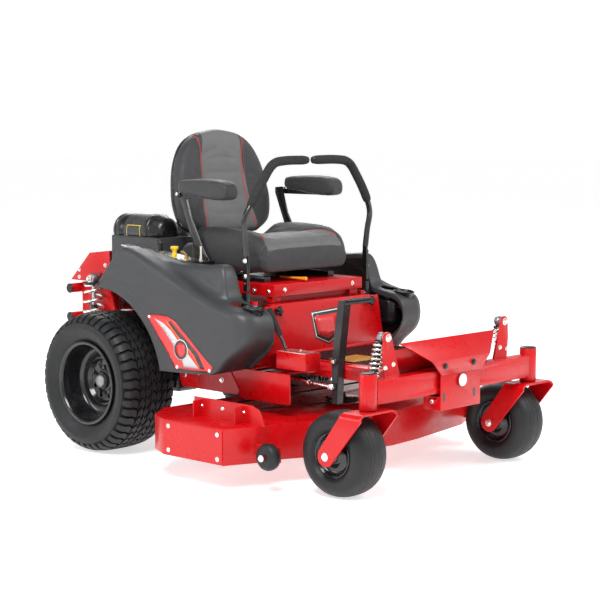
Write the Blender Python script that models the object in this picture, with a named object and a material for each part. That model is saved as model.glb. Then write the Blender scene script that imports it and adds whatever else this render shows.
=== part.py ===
"""A zero-turn ride-on mower: welded frame, suspended axles, seat, control levers, engine and cutting deck.

Units are metres. The machine faces -Y, its right side is at -X, +Z is up and the tyres stand on z = 0.
Every coordinate below is in the machine's own frame, whose y = 0 is the rear axle. The empty
"machine_origin" carries that frame to the middle of the whole machine's length.
"""

import math

import bmesh
import bpy
from mathutils import Matrix, Vector

# ---------------------------------------------------------------- driving dimensions
AXLE_TO_MIDDLE = 0.4367     # rear axle behind the middle of the overall length
GAP = 0.0004               # air between two solids that rest on each other
RIGHT, LEFT = -1, 1        # sides of the machine, as the sign of x
SIDE_NAMES = {RIGHT: "right", LEFT: "left"}

REAR_TYRE_RADIUS = 0.254   # 20 x 10.00-10 turf tyre
REAR_WHEEL_X = 0.428
REAR_AXLE_Z = REAR_TYRE_RADIUS
CASTER_RADIUS = 0.140      # 11 x 6.00-5 smooth tyre
CASTER_X = 0.424
CASTER_PIVOT_Y = -1.261
CASTER_AXLE_Y = -1.161
TUBE_BOTTOM, TUBE_TOP = 0.292, 0.407

RAIL_INNER, RAIL_OUTER = 0.170, 0.215
RAIL_BOTTOM, RAIL_TOP = 0.335, 0.385
FRONT_CROSS_Y = -1.185
REAR_PLATE_Y = 0.385
BUMPER_Y, BUMPER_RADIUS, BUMPER_HALF = 0.411, 0.018, 0.270
BUMPER_HEIGHTS = (0.441, 0.552)
SIDE_PLATE_X = 0.345

AXLE_FRONT, AXLE_REAR = -1.285, -1.235
AXLE_BOTTOM, AXLE_TOP = 0.308, 0.383
AXLE_PIVOT_Z = 0.345
TOWER_EYE = (0.309, 0.508)

SUSPENSION_PIVOT = (-0.36, 0.29)
REAR_SHOCK_X, REAR_SHOCK_Y, REAR_SHOCK_TOP = 0.262, 0.278, 0.597

DECK_BOTTOM, DECK_TOP = 0.085, 0.205
DECK_WALL = 0.003
DECK_RIGHT, DECK_LEFT = 0.650, 0.656
BLADE_CENTRES = {"right": (-0.425, -0.620), "centre": (0.0, -0.765), "left": (0.425, -0.620)}
BLADE_LENGTH = 0.432
ROLLER_X, ROLLER_Y, ROLLER_Z, ROLLER_RADIUS = 0.575, -0.968, 0.122, 0.045

SEAT_HINGE = (-0.645, 0.588)
LEVER_X, LEVER_Y, LEVER_PIVOT_Z, LEVER_SWING_Z = 0.310, -0.600, 0.560, 0.614
PEDAL_X, PEDAL_PIVOT_Y, PEDAL_PIVOT_Z = -0.235, -0.9615, 0.398
HEIGHT_LEVER_X, HEIGHT_LEVER_Y, HEIGHT_LEVER_Z = -0.316, -0.800, 0.412
ARM_PIVOT_X, ARM_PIVOT_Y, ARM_PIVOT_Z = 0.265, -0.215, 0.935

FENDER_OUTER, FENDER_INNER, HIP_OUTER = 0.480, 0.336, 0.400
ARCH_RADIUS = 0.345
SKIN = 0.004

# name: (red, green, blue), roughness, metallic
PAINTS = {
    "red_paint": ((0.62, 0.008, 0.008), 0.30, 0.0),
    "black_steel": ((0.02, 0.02, 0.02), 0.35, 0.3),
    "grey_steel": ((0.075, 0.075, 0.08), 0.40, 0.2),
    "grey_plastic": ((0.075, 0.075, 0.08), 0.55, 0.0),
    "black_plastic": ((0.02, 0.02, 0.022), 0.30, 0.0),
    "tyre_rubber": ((0.03, 0.03, 0.032), 0.75, 0.0),
    "seat_vinyl": ((0.10, 0.10, 0.11), 0.60, 0.0),
    "bright_steel": ((0.70, 0.70, 0.70), 0.28, 1.0),
    "grey_casting": ((0.25, 0.25, 0.25), 0.50, 0.7),
    "foam_grip": ((0.06, 0.06, 0.06), 0.85, 0.0),
    "orange_plastic": ((0.90, 0.35, 0.02), 0.45, 0.0),
}


# ---------------------------------------------------------------- scene helpers
def clear_scene():
    for obj in list(bpy.data.objects):
        bpy.data.objects.remove(obj)


def make_materials():
    made = {}
    for name, (colour, roughness, metallic) in PAINTS.items():
        material = bpy.data.materials.new(name)
        material.use_nodes = True
        shader = material.node_tree.nodes["Principled BSDF"]
        shader.inputs["Base Color"].default_value = (*colour, 1.0)
        shader.inputs["Roughness"].default_value = roughness
        shader.inputs["Metallic"].default_value = metallic
        made[name] = material
    return made


def make_empty(name, place=(0.0, 0.0, 0.0), parent=None):
    empty = bpy.data.objects.new(name, None)
    empty.location = place
    empty.parent = parent
    bpy.context.scene.collection.objects.link(empty)
    return empty


def object_from(bm, name="piece"):
    bmesh.ops.recalc_face_normals(bm, faces=bm.faces)
    mesh = bpy.data.meshes.new(name)
    bm.to_mesh(mesh)
    bm.free()
    obj = bpy.data.objects.new(name, mesh)
    bpy.context.scene.collection.objects.link(obj)
    return obj


def evaluated_copy(obj):
    bpy.context.view_layer.update()
    graph = bpy.context.evaluated_depsgraph_get()
    return bpy.data.meshes.new_from_object(obj.evaluated_get(graph))


def fuse(pieces, cutters=()):
    """One solid from overlapping pieces, less the cutters. The helpers are removed."""
    base, others = pieces[0], [(p, "UNION") for p in pieces[1:]] + [(c, "DIFFERENCE") for c in cutters]
    for other, operation in others:
        modifier = base.modifiers.new(operation.lower(), "BOOLEAN")
        modifier.operation = operation
        modifier.solver = "EXACT"
        modifier.object = other
    base.data = evaluated_copy(base)
    base.modifiers.clear()
    for other, _ in others:
        bpy.data.objects.remove(other)
    return base


def rounded(obj, width, segments=1, angle=40.0):
    """Rounds the sharp edges by a bevel."""
    modifier = obj.modifiers.new("edge_rounding", "BEVEL")
    modifier.width = width
    modifier.segments = segments
    modifier.limit_method = "ANGLE"
    modifier.angle_limit = math.radians(angle)
    obj.data = evaluated_copy(obj)
    obj.modifiers.clear()
    return obj


def finish(obj, name, paint, parent, smooth_angle=35.0):
    """Names and paints a piece, and moves its origin to its parent's place: its joint's axis if it moves."""
    obj.name = obj.data.name = name
    joint = parent
    shift = Vector((0.0, 0.0, 0.0))
    while joint is not None and joint.name != "machine_origin":
        shift += joint.location
        joint = joint.parent
    obj.data.transform(Matrix.Translation(-shift))
    obj.parent = parent
    obj.data.materials.clear()
    obj.data.materials.append(MATERIALS[paint])
    obj.data.shade_smooth()
    obj.data.set_sharp_from_angle(angle=math.radians(smooth_angle))
    return obj


# ---------------------------------------------------------------- shape helpers
def block(x0, x1, y0, y1, z0, z1):
    bm = bmesh.new()
    size = Matrix.Diagonal((x1 - x0, y1 - y0, z1 - z0, 1.0))
    middle = Matrix.Translation(((x0 + x1) / 2, (y0 + y1) / 2, (z0 + z1) / 2))
    bmesh.ops.create_cube(bm, size=1.0, matrix=middle @ size)
    return object_from(bm)


def side_block(side, x0, x1, y0, y1, z0, z1):
    """A block given for the left side, mirrored when side is RIGHT."""
    low, high = sorted((side * x0, side * x1))
    return block(low, high, y0, y1, z0, z1)


def prism(outline, axis, low, high):
    """A flat outline extruded along an axis. Its points are (y, z) for x, (x, z) for y and (x, y) for z."""
    lift = {
        "x": lambda p, d: (d, p[0], p[1]),
        "y": lambda p, d: (p[0], d, p[1]),
        "z": lambda p, d: (p[0], p[1], d),
    }
    bm = bmesh.new()
    rings = [[bm.verts.new(lift[axis](p, d)) for p in outline] for d in (low, high)]
    count = len(outline)
    for i in range(count):
        j = (i + 1) % count
        bm.faces.new((rings[0][i], rings[0][j], rings[1][j], rings[1][i]))
    for ring in rings:
        bm.faces.new(ring)
    return object_from(bm)


def tapered(outline, front, back, centre, share):
    """An (x, z) outline at y = front, joined to its own smaller copy at y = back."""
    bm = bmesh.new()
    smaller = [(centre[0] + share * (x - centre[0]),
                centre[1] + share * (z - centre[1])) for x, z in outline]
    rings = [[bm.verts.new((x, y, z)) for x, z in ring] for ring, y in ((outline, front), (smaller, back))]
    for i in range(len(outline)):
        j = (i + 1) % len(outline)
        bm.faces.new((rings[0][i], rings[0][j], rings[1][j], rings[1][i]))
    for ring in rings:
        bm.faces.new(ring)
    return object_from(bm)


def side_prism(side, outline, x0, x1):
    low, high = sorted((side * x0, side * x1))
    return prism(outline, "x", low, high)


def arc(centre, radius, start, end, steps):
    """Points on an arc, by angles in degrees from the first axis of the plane."""
    angles = [math.radians(start + (end - start) * i / steps) for i in range(steps + 1)]
    return [(centre[0] + radius * math.cos(a), centre[1] + radius * math.sin(a)) for a in angles]


def rod(start, end, radius, sides=12):
    start, end = Vector(start), Vector(end)
    bm = bmesh.new()
    turn = (end - start).to_track_quat("Z", "Y").to_matrix().to_4x4()
    place = Matrix.Translation((start + end) / 2) @ turn
    bmesh.ops.create_cone(
        bm, cap_ends=True, segments=sides, radius1=radius, radius2=radius, depth=(end - start).length,
        matrix=place
    )
    return object_from(bm)


def turned(profile, place, axis, sides, closed=True):
    """Turns a profile of (along, radius) points about an axis through place. An open profile ends on the axis."""
    frames = {
        "x": lambda u, r, a: (u, r * math.cos(a), r * math.sin(a)),
        "z": lambda u, r, a: (r * math.cos(a), r * math.sin(a), u),
    }
    bm = bmesh.new()
    rings = []
    for u, r in profile:
        if r < 1e-6:
            rings.append([bm.verts.new(Vector(place) + Vector(frames[axis](u, 0.0, 0.0)))] * sides)
            continue
        angles = [2 * math.pi * k / sides for k in range(sides)]
        rings.append([bm.verts.new(Vector(place) + Vector(frames[axis](u, r, a))) for a in angles])
    pairs = list(zip(rings, rings[1:] + (rings[:1] if closed else [])))
    for ring, following in pairs:
        for k in range(sides):
            j = (k + 1) % sides
            corners = list(dict.fromkeys((ring[k], ring[j], following[j], following[k])))
            if len(corners) > 2:
                bm.faces.new(corners)
    return object_from(bm)


def mirrored_profile(half):
    """A profile given from its inner end out to u = 0, completed on the other side of u = 0."""
    return half + [(-u, r) for u, r in reversed(half) if abs(u) > 1e-9]


def swept(points, radius, sides=8, closed_ends=True):
    """A tube of one radius, or of one radius for each point, along a list of points."""
    points = [Vector(p) for p in points]
    radii = radius if isinstance(radius, list) else [radius] * len(points)
    bm = bmesh.new()
    rings, across = [], None
    for i, point in enumerate(points):
        ahead = (points[min(i + 1, len(points) - 1)] - points[max(i - 1, 0)]).normalized()
        if across is None:
            across = ahead.orthogonal().normalized()
        across = (across - ahead * across.dot(ahead)).normalized()
        other = ahead.cross(across)
        angles = [2 * math.pi * k / sides for k in range(sides)]
        ring = [point + radii[i] * (across * math.cos(a) + other * math.sin(a)) for a in angles]
        rings.append([bm.verts.new(p) for p in ring])
    for ring, following in zip(rings, rings[1:]):
        for k in range(sides):
            j = (k + 1) % sides
            bm.faces.new((ring[k], ring[j], following[j], following[k]))
    if closed_ends:
        bm.faces.new(rings[0])
        bm.faces.new(rings[-1])
    return object_from(bm)


def coil(bottom, top, radius_at, wire, turns, steps_per_turn=7, sides=4):
    """A compression spring from bottom to top, whose radius follows its height's share from 0 to 1."""
    bottom, top = Vector(bottom), Vector(top)
    ahead = (top - bottom).normalized()
    across = ahead.orthogonal().normalized()
    other = ahead.cross(across)
    count = int(turns * steps_per_turn)
    points = []
    for i in range(count + 1):
        share = i / count
        angle = 2 * math.pi * turns * share
        spoke = across * math.cos(angle) + other * math.sin(angle)
        points.append(bottom.lerp(top, share) + radius_at(share) * spoke)
    return swept(points, wire, sides)


def smooth_path(points, steps):
    """Catmull-Rom points through a short list of route points."""
    points = [Vector(p) for p in points]
    ends = [2 * points[0] - points[1]] + points + [2 * points[-1] - points[-2]]
    path = []
    for a, b, c, d in zip(ends, ends[1:], ends[2:], ends[3:]):
        for k in range(steps):
            t = k / steps
            bend = 2 * a - 5 * b + 4 * c - d
            twist = 3 * b - a - 3 * c + d
            path.append(0.5 * (2 * b + (c - a) * t + bend * t**2 + twist * t**3))
    return path + [points[-1]]


# ---------------------------------------------------------------- frame
def build_main_frame(parent):
    """Rails, cross members, rear plate, bumper bars, side plates and the posts that carry the levers."""
    pieces = [
        block(-RAIL_OUTER, RAIL_OUTER, FRONT_CROSS_Y, FRONT_CROSS_Y + 0.04, RAIL_BOTTOM, RAIL_TOP),
        block(-RAIL_OUTER, RAIL_OUTER, -0.66, -0.62, RAIL_BOTTOM, RAIL_TOP),
        block(-RAIL_OUTER, RAIL_OUTER, -0.28, 0.30, RAIL_TOP - 0.006, RAIL_TOP),
        block(-0.222, 0.222, REAR_PLATE_Y, REAR_PLATE_Y + 0.012, RAIL_BOTTOM, 0.575),
    ]
    upright_rear = REAR_PLATE_Y + 0.004
    upright = [(0.16, 0.36), (upright_rear, 0.36), (upright_rear, 0.570), (0.24, 0.570)]
    for side in (RIGHT, LEFT):
        pieces += [
            side_block(side, RAIL_INNER, RAIL_OUTER, FRONT_CROSS_Y, REAR_PLATE_Y + 0.006, RAIL_BOTTOM,
                       RAIL_TOP),
            side_prism(side, upright, 0.210, 0.220),
            side_block(side, 0.205, 0.285, -0.615, -0.585, 0.345, 0.382),
            side_block(side, 0.268, 0.290, -0.615, -0.585, 0.345, 0.575),
            rod((side * 0.212, REAR_SHOCK_Y, REAR_SHOCK_TOP),
                (side * 0.285, REAR_SHOCK_Y, REAR_SHOCK_TOP), 0.0075),
            side_block(side, 0.211, 0.219, 0.262, 0.294, 0.56, 0.612),
        ]
        pieces += [side_block(side, 0.205, SIDE_PLATE_X, y, y + 0.04, 0.342, 0.350) for y in (-0.80, -0.63)]
        plate = [(-0.55, 0.350), (-0.61, 0.247), (-0.84, 0.247), (-0.845, 0.252), (-0.845, 0.350)]
        pieces.append(side_prism(side, plate, SIDE_PLATE_X - 0.002, SIDE_PLATE_X + 0.003))
    for height in BUMPER_HEIGHTS:
        pieces.append(rod((-BUMPER_HALF, BUMPER_Y, height), (BUMPER_HALF, BUMPER_Y, height),
                          BUMPER_RADIUS, 16))
    pieces.append(block(-0.335, -0.262, -0.905, -0.770, 0.366, 0.424))
    pieces.append(block(-0.275, -0.205, -0.860, -0.800, 0.350, 0.384))
    finish(fuse(pieces), "main_frame", "red_paint", parent)


def build_floor_pan(parent):
    """The bent sheet under and behind the driver's feet."""
    floor_z = RAIL_TOP + GAP
    outline = [
        (-1.205, floor_z), (-0.696, floor_z), (-0.667, 0.562), (-0.640, 0.562), (-0.640, 0.566),
        (-0.671, 0.566), (-0.700, floor_z + SKIN), (-1.180, floor_z + SKIN), (-1.226, 0.462),
        (-1.230, 0.460),
    ]
    sheet = prism(outline, "x", -0.255, 0.255)
    wings = prism([(-0.700, 0.400), (-0.696, 0.400), (-0.667, 0.562), (-0.671, 0.562)], "x", -0.300, 0.300)
    pedal_slot = block(-0.310, -0.2120, -1.010, -0.820, 0.370, 0.400)
    finish(fuse([sheet, wings], [pedal_slot]), "floor_pan", "red_paint", parent)


def build_foot_plate(parent):
    """The bent trapezoid plate that the feet rest against, bolted to the front of the axle bracket."""
    levels = [(0.105, -1.3020, 0.3700), (0.153, -1.3020, 0.4200), (0.250, -1.2440, 0.4850)]
    backs = [Vector((0, SKIN, 0)), Vector((0, SKIN, -0.002)), Vector((0, 0.003, -0.0035))]
    bm = bmesh.new()
    rows = []
    for (half, y, z), back in zip(levels, backs):
        fronts = [Vector((-half, y, z)), Vector((half, y, z))]
        rows.append([bm.verts.new(p) for p in (fronts[0], fronts[1], fronts[1] + back, fronts[0] + back)])
    for low, high in zip(rows, rows[1:]):
        for k in range(4):
            j = (k + 1) % 4
            bm.faces.new((low[k], low[j], high[j], high[k]))
    bm.faces.new(rows[0])
    bm.faces.new(rows[-1])
    finish(object_from(bm), "foot_plate", "red_paint", parent)


def build_axle_bracket(parent):
    """The chassis bracket around the middle of the front axle: its pivot bolt and the lower shock arms."""
    pieces = [
        block(-0.105, 0.105, -1.2975, -1.2925, 0.252, 0.405),
        block(-0.105, 0.105, -1.2290, -1.2230, 0.252, 0.384),
        block(-0.105, 0.105, -1.2970, -1.2240, 0.252, 0.257),
        block(-0.075, 0.075, -1.2240, FRONT_CROSS_Y - GAP, 0.337, 0.380),
        block(-0.366, 0.366, -1.2240, -1.1920, 0.314, 0.326),
        rod((0, -1.3060, AXLE_PIVOT_Z), (0, -1.2200, AXLE_PIVOT_Z), 0.0110, 16),
    ]
    for side in (RIGHT, LEFT):
        pieces += [
            side_block(side, 0.100, 0.105, -1.2970, -1.2240, 0.252, 0.298),
            rod((side * 0.096, -1.272, 0.283), (side * 0.117, -1.272, 0.283), 0.0120, 6),
            rod((side * 0.3505, -1.2032, 0.320), (side * 0.3274, -1.2101, 0.430), 0.0035, 8),
            rod((side * 0.3452, -1.2048, 0.345), (side * 0.3431, -1.2054, 0.355), 0.0200, 12),
        ]
    finish(fuse(pieces), "axle_bracket", "red_paint", parent)


def build_engine_guard(parent):
    """The folded sheet over the back of the engine."""
    top = [(0.322, 0.693), (0.205, 0.7065)]
    outer = prism([(0.205, 0.583), (0.437, 0.583)] + top, "x", -0.244, 0.244)
    below = [(0.100, 0.500), (0.425, 0.500), (0.425, 0.5780), (0.3205, 0.6885), (0.210, 0.7010),
             (0.100, 0.7100)]
    inner = prism(below, "x", -0.240, 0.240)
    notch = block(-0.260, 0.260, 0.240, 0.316, 0.570, 0.616)
    finish(fuse([outer], [inner, notch]), "engine_guard", "red_paint", parent)


# ---------------------------------------------------------------- bodywork
FENDER_TOP = [
    (0.006, 0.607), (-0.013, 0.638), (-0.130, 0.760), (-0.200, 0.745), (-0.330, 0.690), (-0.500, 0.618),
    (-0.620, 0.578), (-0.715, 0.565), (-0.755, 0.545), (-0.765, 0.500), (-0.755, 0.450), (-0.720, 0.415),
    (-0.666, 0.383), (-0.632, 0.345), (-0.606, 0.338), (-0.410, 0.328), (-0.338, 0.328),
]
HIP_TOP = [
    (-0.060, 0.600), (-0.060, 0.752), (-0.130, 0.760), (-0.300, 0.728), (-0.440, 0.712), (-0.560, 0.720),
    (-0.598, 0.640), (-0.604, 0.560),
]


def arch_points(radius, steps=8):
    """The wheel arch, from its front foot up to its rear end, round the rear axle."""
    start = math.degrees(math.atan2(0.328 - REAR_AXLE_Z, -0.338)) % 360
    end = math.degrees(math.atan2(0.607 - REAR_AXLE_Z, 0.006)) % 360
    return arc((0.0, REAR_AXLE_Z), radius, start, end, steps)


def inset(chain, distance):
    """An open chain of points moved sideways, to its left as it is walked."""
    moved = []
    for i, point in enumerate(chain):
        before, after = Vector(chain[max(i - 1, 0)]), Vector(chain[min(i + 1, len(chain) - 1)])
        ahead = (after - before).normalized()
        moved.append((point[0] - ahead.y * distance, point[1] + ahead.x * distance))
    return moved


def build_fender(side, parent):
    """A moulded cover, open below and on its inner side: outer panel, front nose and raised hip."""
    arch = arch_points(ARCH_RADIUS)[1:-1]
    panel = side_prism(side, FENDER_TOP + arch, FENDER_INNER, FENDER_OUTER)
    hip = side_prism(side, HIP_TOP + [(-0.300, 0.560)], FENDER_INNER, HIP_OUTER)
    hollow_chain = inset(FENDER_TOP[:13], SKIN)
    below = [(-0.660, 0.300), (-0.300, 0.300), (0.000, 0.560)]
    hollow = side_prism(side, hollow_chain + below, FENDER_INNER - 0.05, FENDER_OUTER - SKIN)
    hip_chain = inset(HIP_TOP, SKIN)
    hip_hollow = side_prism(side, hip_chain + [(-0.300, 0.500)], FENDER_INNER - 0.05, HIP_OUTER - SKIN)
    name = f"fender_{SIDE_NAMES[side]}"
    finish(fuse([panel, hip], [hollow, hip_hollow]), name, "grey_plastic", parent)


def build_fuel_tank(parent):
    tank = rounded(block(0.345, 0.470, -0.700, -0.440, 0.440, 0.552), 0.020)
    finish(tank, "fuel_tank", "black_plastic", parent)


# ---------------------------------------------------------------- engine
def build_engine(parent):
    crankcase = turned([(0.3860, 0.0), (0.3860, 0.125), (0.560, 0.125), (0.600, 0.110), (0.600, 0.0)],
                       (0.03, 0.02, 0.0), "z", 16, closed=False)
    cylinders = []
    for sign in (-1, 1):
        head = block(-0.055, 0.055, 0.06, 0.21, 0.44, 0.59)
        turn = Matrix.Rotation(math.radians(-35 * sign), 4, "Z")
        head.data.transform(Matrix.Translation((0.03, 0.0, 0.0)) @ turn)
        cylinders.append(head)
    finish(fuse([crankcase] + cylinders), "engine_block", "grey_casting", parent)

    dome = [(0.6010, 0.0), (0.6010, 0.155), (0.690, 0.155), (0.745, 0.140), (0.760, 0.118)]
    intake = [(0.760, 0.105), (0.805, 0.085), (0.815, 0.070), (0.815, 0.0)]
    shroud = turned(dome + intake, (0.05, 0.048, 0.0), "z", 20, closed=False)
    finish(shroud, "blower_housing", "black_plastic", parent)

    canister = [(0.0, 0.0), (0.0, 0.056), (0.012, 0.063), (0.190, 0.063), (0.196, 0.066), (0.212, 0.066)]
    dome_end = [(0.218, 0.060), (0.245, 0.054), (0.262, 0.036), (0.262, 0.0)]
    cleaner = turned(canister + dome_end, (0.0, 0.0, 0.0), "z", 16, closed=False)
    turn = Matrix.Rotation(math.radians(90), 4, "X")
    cleaner.data.transform(Matrix.Translation((-0.1955, 0.172, 0.7875)) @ turn)
    finish(cleaner, "air_cleaner", "black_plastic", parent)

    cowl = rounded(block(-0.269, -0.122, -0.104, 0.168, 0.600, 0.775), 0.008)
    well = block(-0.264, -0.127, -0.099, 0.240, 0.7180, 0.800)
    finish(fuse([cowl], [well]), "engine_side_cowl", "grey_plastic", parent)

    muffler = rod((-0.140, 0.300, 0.500), (0.140, 0.300, 0.500), 0.045, 16)
    pipe = rod((0.110, 0.300, 0.480), (0.110, 0.370, 0.470), 0.014, 8)
    foot = block(-0.030, 0.030, 0.280, 0.320, RAIL_TOP + 0.001, 0.470)
    finish(fuse([muffler, pipe, foot]), "muffler", "bright_steel", parent)


# ---------------------------------------------------------------- rear axle and wheels
def build_rear_axle(parent):
    pivot_y, pivot_z = SUSPENSION_PIVOT
    pieces = [
        rod((-0.160, pivot_y, pivot_z), (0.160, pivot_y, pivot_z), 0.016),
        block(-0.160, 0.160, 0.135, 0.155, 0.250, 0.280),
        block(-0.285, 0.285, 0.262, 0.294, 0.250, 0.280),
    ]
    for side in (RIGHT, LEFT):
        pieces += [
            side_block(side, 0.160, 0.178, pivot_y - 0.02, 0.290, 0.250, 0.285),
            side_block(side, 0.158, 0.178, pivot_y - 0.02, pivot_y + 0.02, 0.250, 0.312),
            rod((side * REAR_SHOCK_X, REAR_SHOCK_Y, 0.270), (side * REAR_SHOCK_X, REAR_SHOCK_Y, 0.490),
                0.0060, 8),
        ]
    finish(fuse(pieces), "rear_subframe", "black_steel", parent)
    for side in (RIGHT, LEFT):
        housing = rounded(side_block(side, 0.040, 0.1570, -0.085, 0.105, 0.185, 0.325), 0.015)
        axle_tube = rod((side * 0.150, 0.0, REAR_AXLE_Z), (side * 0.304, 0.0, REAR_AXLE_Z), 0.030, 12)
        slot = [side_block(side, 0.1595, 0.1785, -0.12, 0.14, 0.245, 0.2865)]
        finish(fuse([housing, axle_tube], slot), f"transaxle_{SIDE_NAMES[side]}", "grey_casting", parent)


def build_rear_wheel(side, parent):
    place = (side * REAR_WHEEL_X, 0.0, REAR_AXLE_Z)
    outside = [(0.098, 0.1425), (0.100, 0.150), (0.122, 0.178), (0.123, 0.224), (0.098, 0.248)]
    outside.append((0.0, REAR_TYRE_RADIUS))
    inside = [(0.085, 0.236), (0.108, 0.222), (0.109, 0.180), (0.088, 0.1425)]
    profile = mirrored_profile(outside) + [(-u, r) for u, r in reversed(inside)] + inside
    finish(turned(profile, place, "x", 28), f"rear_tyre_{SIDE_NAMES[side]}", "tyre_rubber", parent)
    rim = [
        (-0.116, 0.0), (-0.116, 0.016), (-0.012, 0.016), (-0.012, 0.055), (0.004, 0.060), (0.004, 0.1375),
        (-0.105, 0.1375), (-0.105, 0.149), (-0.1015, 0.149), (-0.1015, 0.1415), (0.1015, 0.1415),
        (0.1015, 0.149), (0.105, 0.149), (0.105, 0.1375), (0.012, 0.1375), (0.012, 0.050), (0.045, 0.033),
        (0.045, 0.0),
    ]
    rim = [(side * u, r) for u, r in rim]
    finish(turned(rim, place, "x", 20, closed=False), f"rear_rim_{SIDE_NAMES[side]}", "black_steel", parent)


def build_rear_shock(side, parent):
    """The damper body and its barrel spring. The rod inside them stands on the subframe."""
    place = (side * REAR_SHOCK_X, REAR_SHOCK_Y, 0.0)
    sleeve = [(0.420, 0.0180), (0.420, 0.0235), (0.572, 0.0235), (0.582, 0.016), (0.582, 0.0120),
              (0.560, 0.0180)]
    body = turned(sleeve, place, "z", 12)
    eye = turned([(-0.013, 0.0085), (-0.013, 0.020), (0.013, 0.020), (0.013, 0.0085)],
                 (side * REAR_SHOCK_X, REAR_SHOCK_Y, REAR_SHOCK_TOP), "x", 12)
    finish(fuse([body, eye]), f"rear_damper_{SIDE_NAMES[side]}", "black_steel", parent)
    spring = coil((place[0], place[1], 0.405), (place[0], place[1], 0.576),
                  lambda share: 0.0305 + 0.0035 * math.sin(math.pi * share), 0.0038, 5.0)
    finish(spring, f"rear_spring_{SIDE_NAMES[side]}", "bright_steel", parent)


# ---------------------------------------------------------------- front axle and casters
def build_front_axle(parent):
    pieces = [block(-0.405, 0.405, AXLE_FRONT, AXLE_REAR, AXLE_BOTTOM, AXLE_TOP)]
    cutters = [rod((0, -1.31, AXLE_PIVOT_Z), (0, -1.21, AXLE_PIVOT_Z), 0.0125, 16)]
    for side in (RIGHT, LEFT):
        pivot = (side * CASTER_X, CASTER_PIVOT_Y)
        pieces.append(rod((*pivot, TUBE_BOTTOM), (*pivot, TUBE_TOP), 0.0290, 20))
        cutters.append(rod((*pivot, TUBE_BOTTOM - 0.01), (*pivot, TUBE_TOP - 0.006), 0.0210, 16))
        eye_x, eye_z = TOWER_EYE
        head = arc((side * eye_x, eye_z), 0.019, 90 - side * 110, 90 + side * 90, 6)
        tower = [(side * 0.247, AXLE_TOP - 0.01), (side * 0.322, AXLE_TOP - 0.01),
                 (side * 0.330, 0.450)] + head
        pieces.append(prism(tower, "y", -1.244, -1.236))
        pieces.append(rod((side * eye_x, -1.252, eye_z), (side * eye_x, -1.202, eye_z), 0.0065, 8))
    finish(fuse(pieces, cutters), "front_axle_beam", "red_paint", parent)


def build_front_shock(side, parent):
    """The upper damper body and the spring on it. The rod inside them stands on the axle bracket."""
    top = Vector((side * 0.311, -1.2150, 0.508))
    foot = Vector((side * 0.3345, -1.2080, 0.396))
    ahead = (top - foot).normalized()
    body = rod(foot, top - ahead * 0.012, 0.0128, 12)
    bore = rod(foot - ahead * 0.01, foot + ahead * 0.062, 0.0108, 12)
    eye = turned([(-0.009, 0.0075), (-0.009, 0.016), (0.009, 0.016), (0.009, 0.0075)], (0.0, 0.0, 0.0),
                 "z", 12)
    turn = Matrix.Rotation(math.radians(90), 4, "X")
    eye.data.transform(Matrix.Translation((side * 0.309, -1.2180, 0.508)) @ turn)
    hole = rod((side * 0.309, -1.24, 0.508), (side * 0.309, -1.19, 0.508), 0.0074, 12)
    finish(fuse([body, eye], [bore, hole]), f"front_damper_{SIDE_NAMES[side]}", "black_steel", parent)
    spring = coil(foot - ahead * 0.030, top - ahead * 0.026, lambda share: 0.0190, 0.0032, 7.0)
    finish(spring, f"front_spring_{SIDE_NAMES[side]}", "bright_steel", parent)


def build_caster(side, swivel, spin):
    x = side * CASTER_X
    leg_top = CASTER_PIVOT_Y
    foot = arc((CASTER_AXLE_Y, CASTER_RADIUS), 0.033, 215, 395, 6)
    outline = foot + [
        (leg_top + 0.046, 0.268), (leg_top + 0.036, 0.288), (leg_top - 0.044, 0.288),
        (leg_top - 0.052, 0.272),
    ]
    arch = rounded(prism(outline, "x", x - 0.0915, x + 0.0915), 0.006)
    wheel_room = block(x - 0.0840, x + 0.0840, -1.45, -1.00, 0.05, 0.2795)
    legs = fuse([arch], [wheel_room])
    base = turned([(0.2860, 0.0), (0.2860, 0.026), (0.2905, 0.026), (0.2905, 0.0125), (0.395, 0.0125),
                   (0.395, 0.0)],
                  (x, CASTER_PIVOT_Y, 0.0), "z", 12, closed=False)
    axle = rod((x - 0.099, CASTER_AXLE_Y, CASTER_RADIUS), (x + 0.099, CASTER_AXLE_Y, CASTER_RADIUS),
               0.0090, 12)
    finish(fuse([legs, base, axle]), f"caster_fork_{SIDE_NAMES[side]}", "red_paint", swivel)

    place = (x, CASTER_AXLE_Y, CASTER_RADIUS)
    outside = [(0.050, 0.0710), (0.054, 0.079), (0.073, 0.096), (0.070, 0.118), (0.045, 0.134),
               (0.0, CASTER_RADIUS)]
    inside = [(0.036, 0.126), (0.058, 0.115), (0.061, 0.096), (0.042, 0.0710)]
    profile = mirrored_profile(outside) + [(-u, r) for u, r in reversed(inside)] + inside
    finish(turned(profile, place, "x", 22), f"caster_tyre_{SIDE_NAMES[side]}", "tyre_rubber", spin)
    half = [(0.058, 0.074), (0.0555, 0.074), (0.0555, 0.069)]
    web = [(0.058, 0.064), (0.008, 0.062), (0.008, 0.026), (0.055, 0.024), (0.055, 0.0105)]
    rim = half + [(-u, r) for u, r in reversed(half)] + [(-u, r) for u, r in web] + list(reversed(web))
    finish(turned(rim, place, "x", 16), f"caster_rim_{SIDE_NAMES[side]}", "black_steel", spin)


# ---------------------------------------------------------------- seat
def build_seat_base(parent):
    pedestal = block(-0.190, 0.190, -0.620, -0.300, RAIL_TOP + SKIN + 0.006, 0.5895)
    hollow = block(-0.186, 0.186, -0.616, -0.304, 0.30, 0.5855)
    ears = [side_block(side, 0.180, 0.222, -0.640, -0.606, 0.568, 0.5895) for side in (RIGHT, LEFT)]
    finish(fuse([pedestal] + ears, [hollow]), "seat_pedestal", "red_paint", parent)


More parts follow.
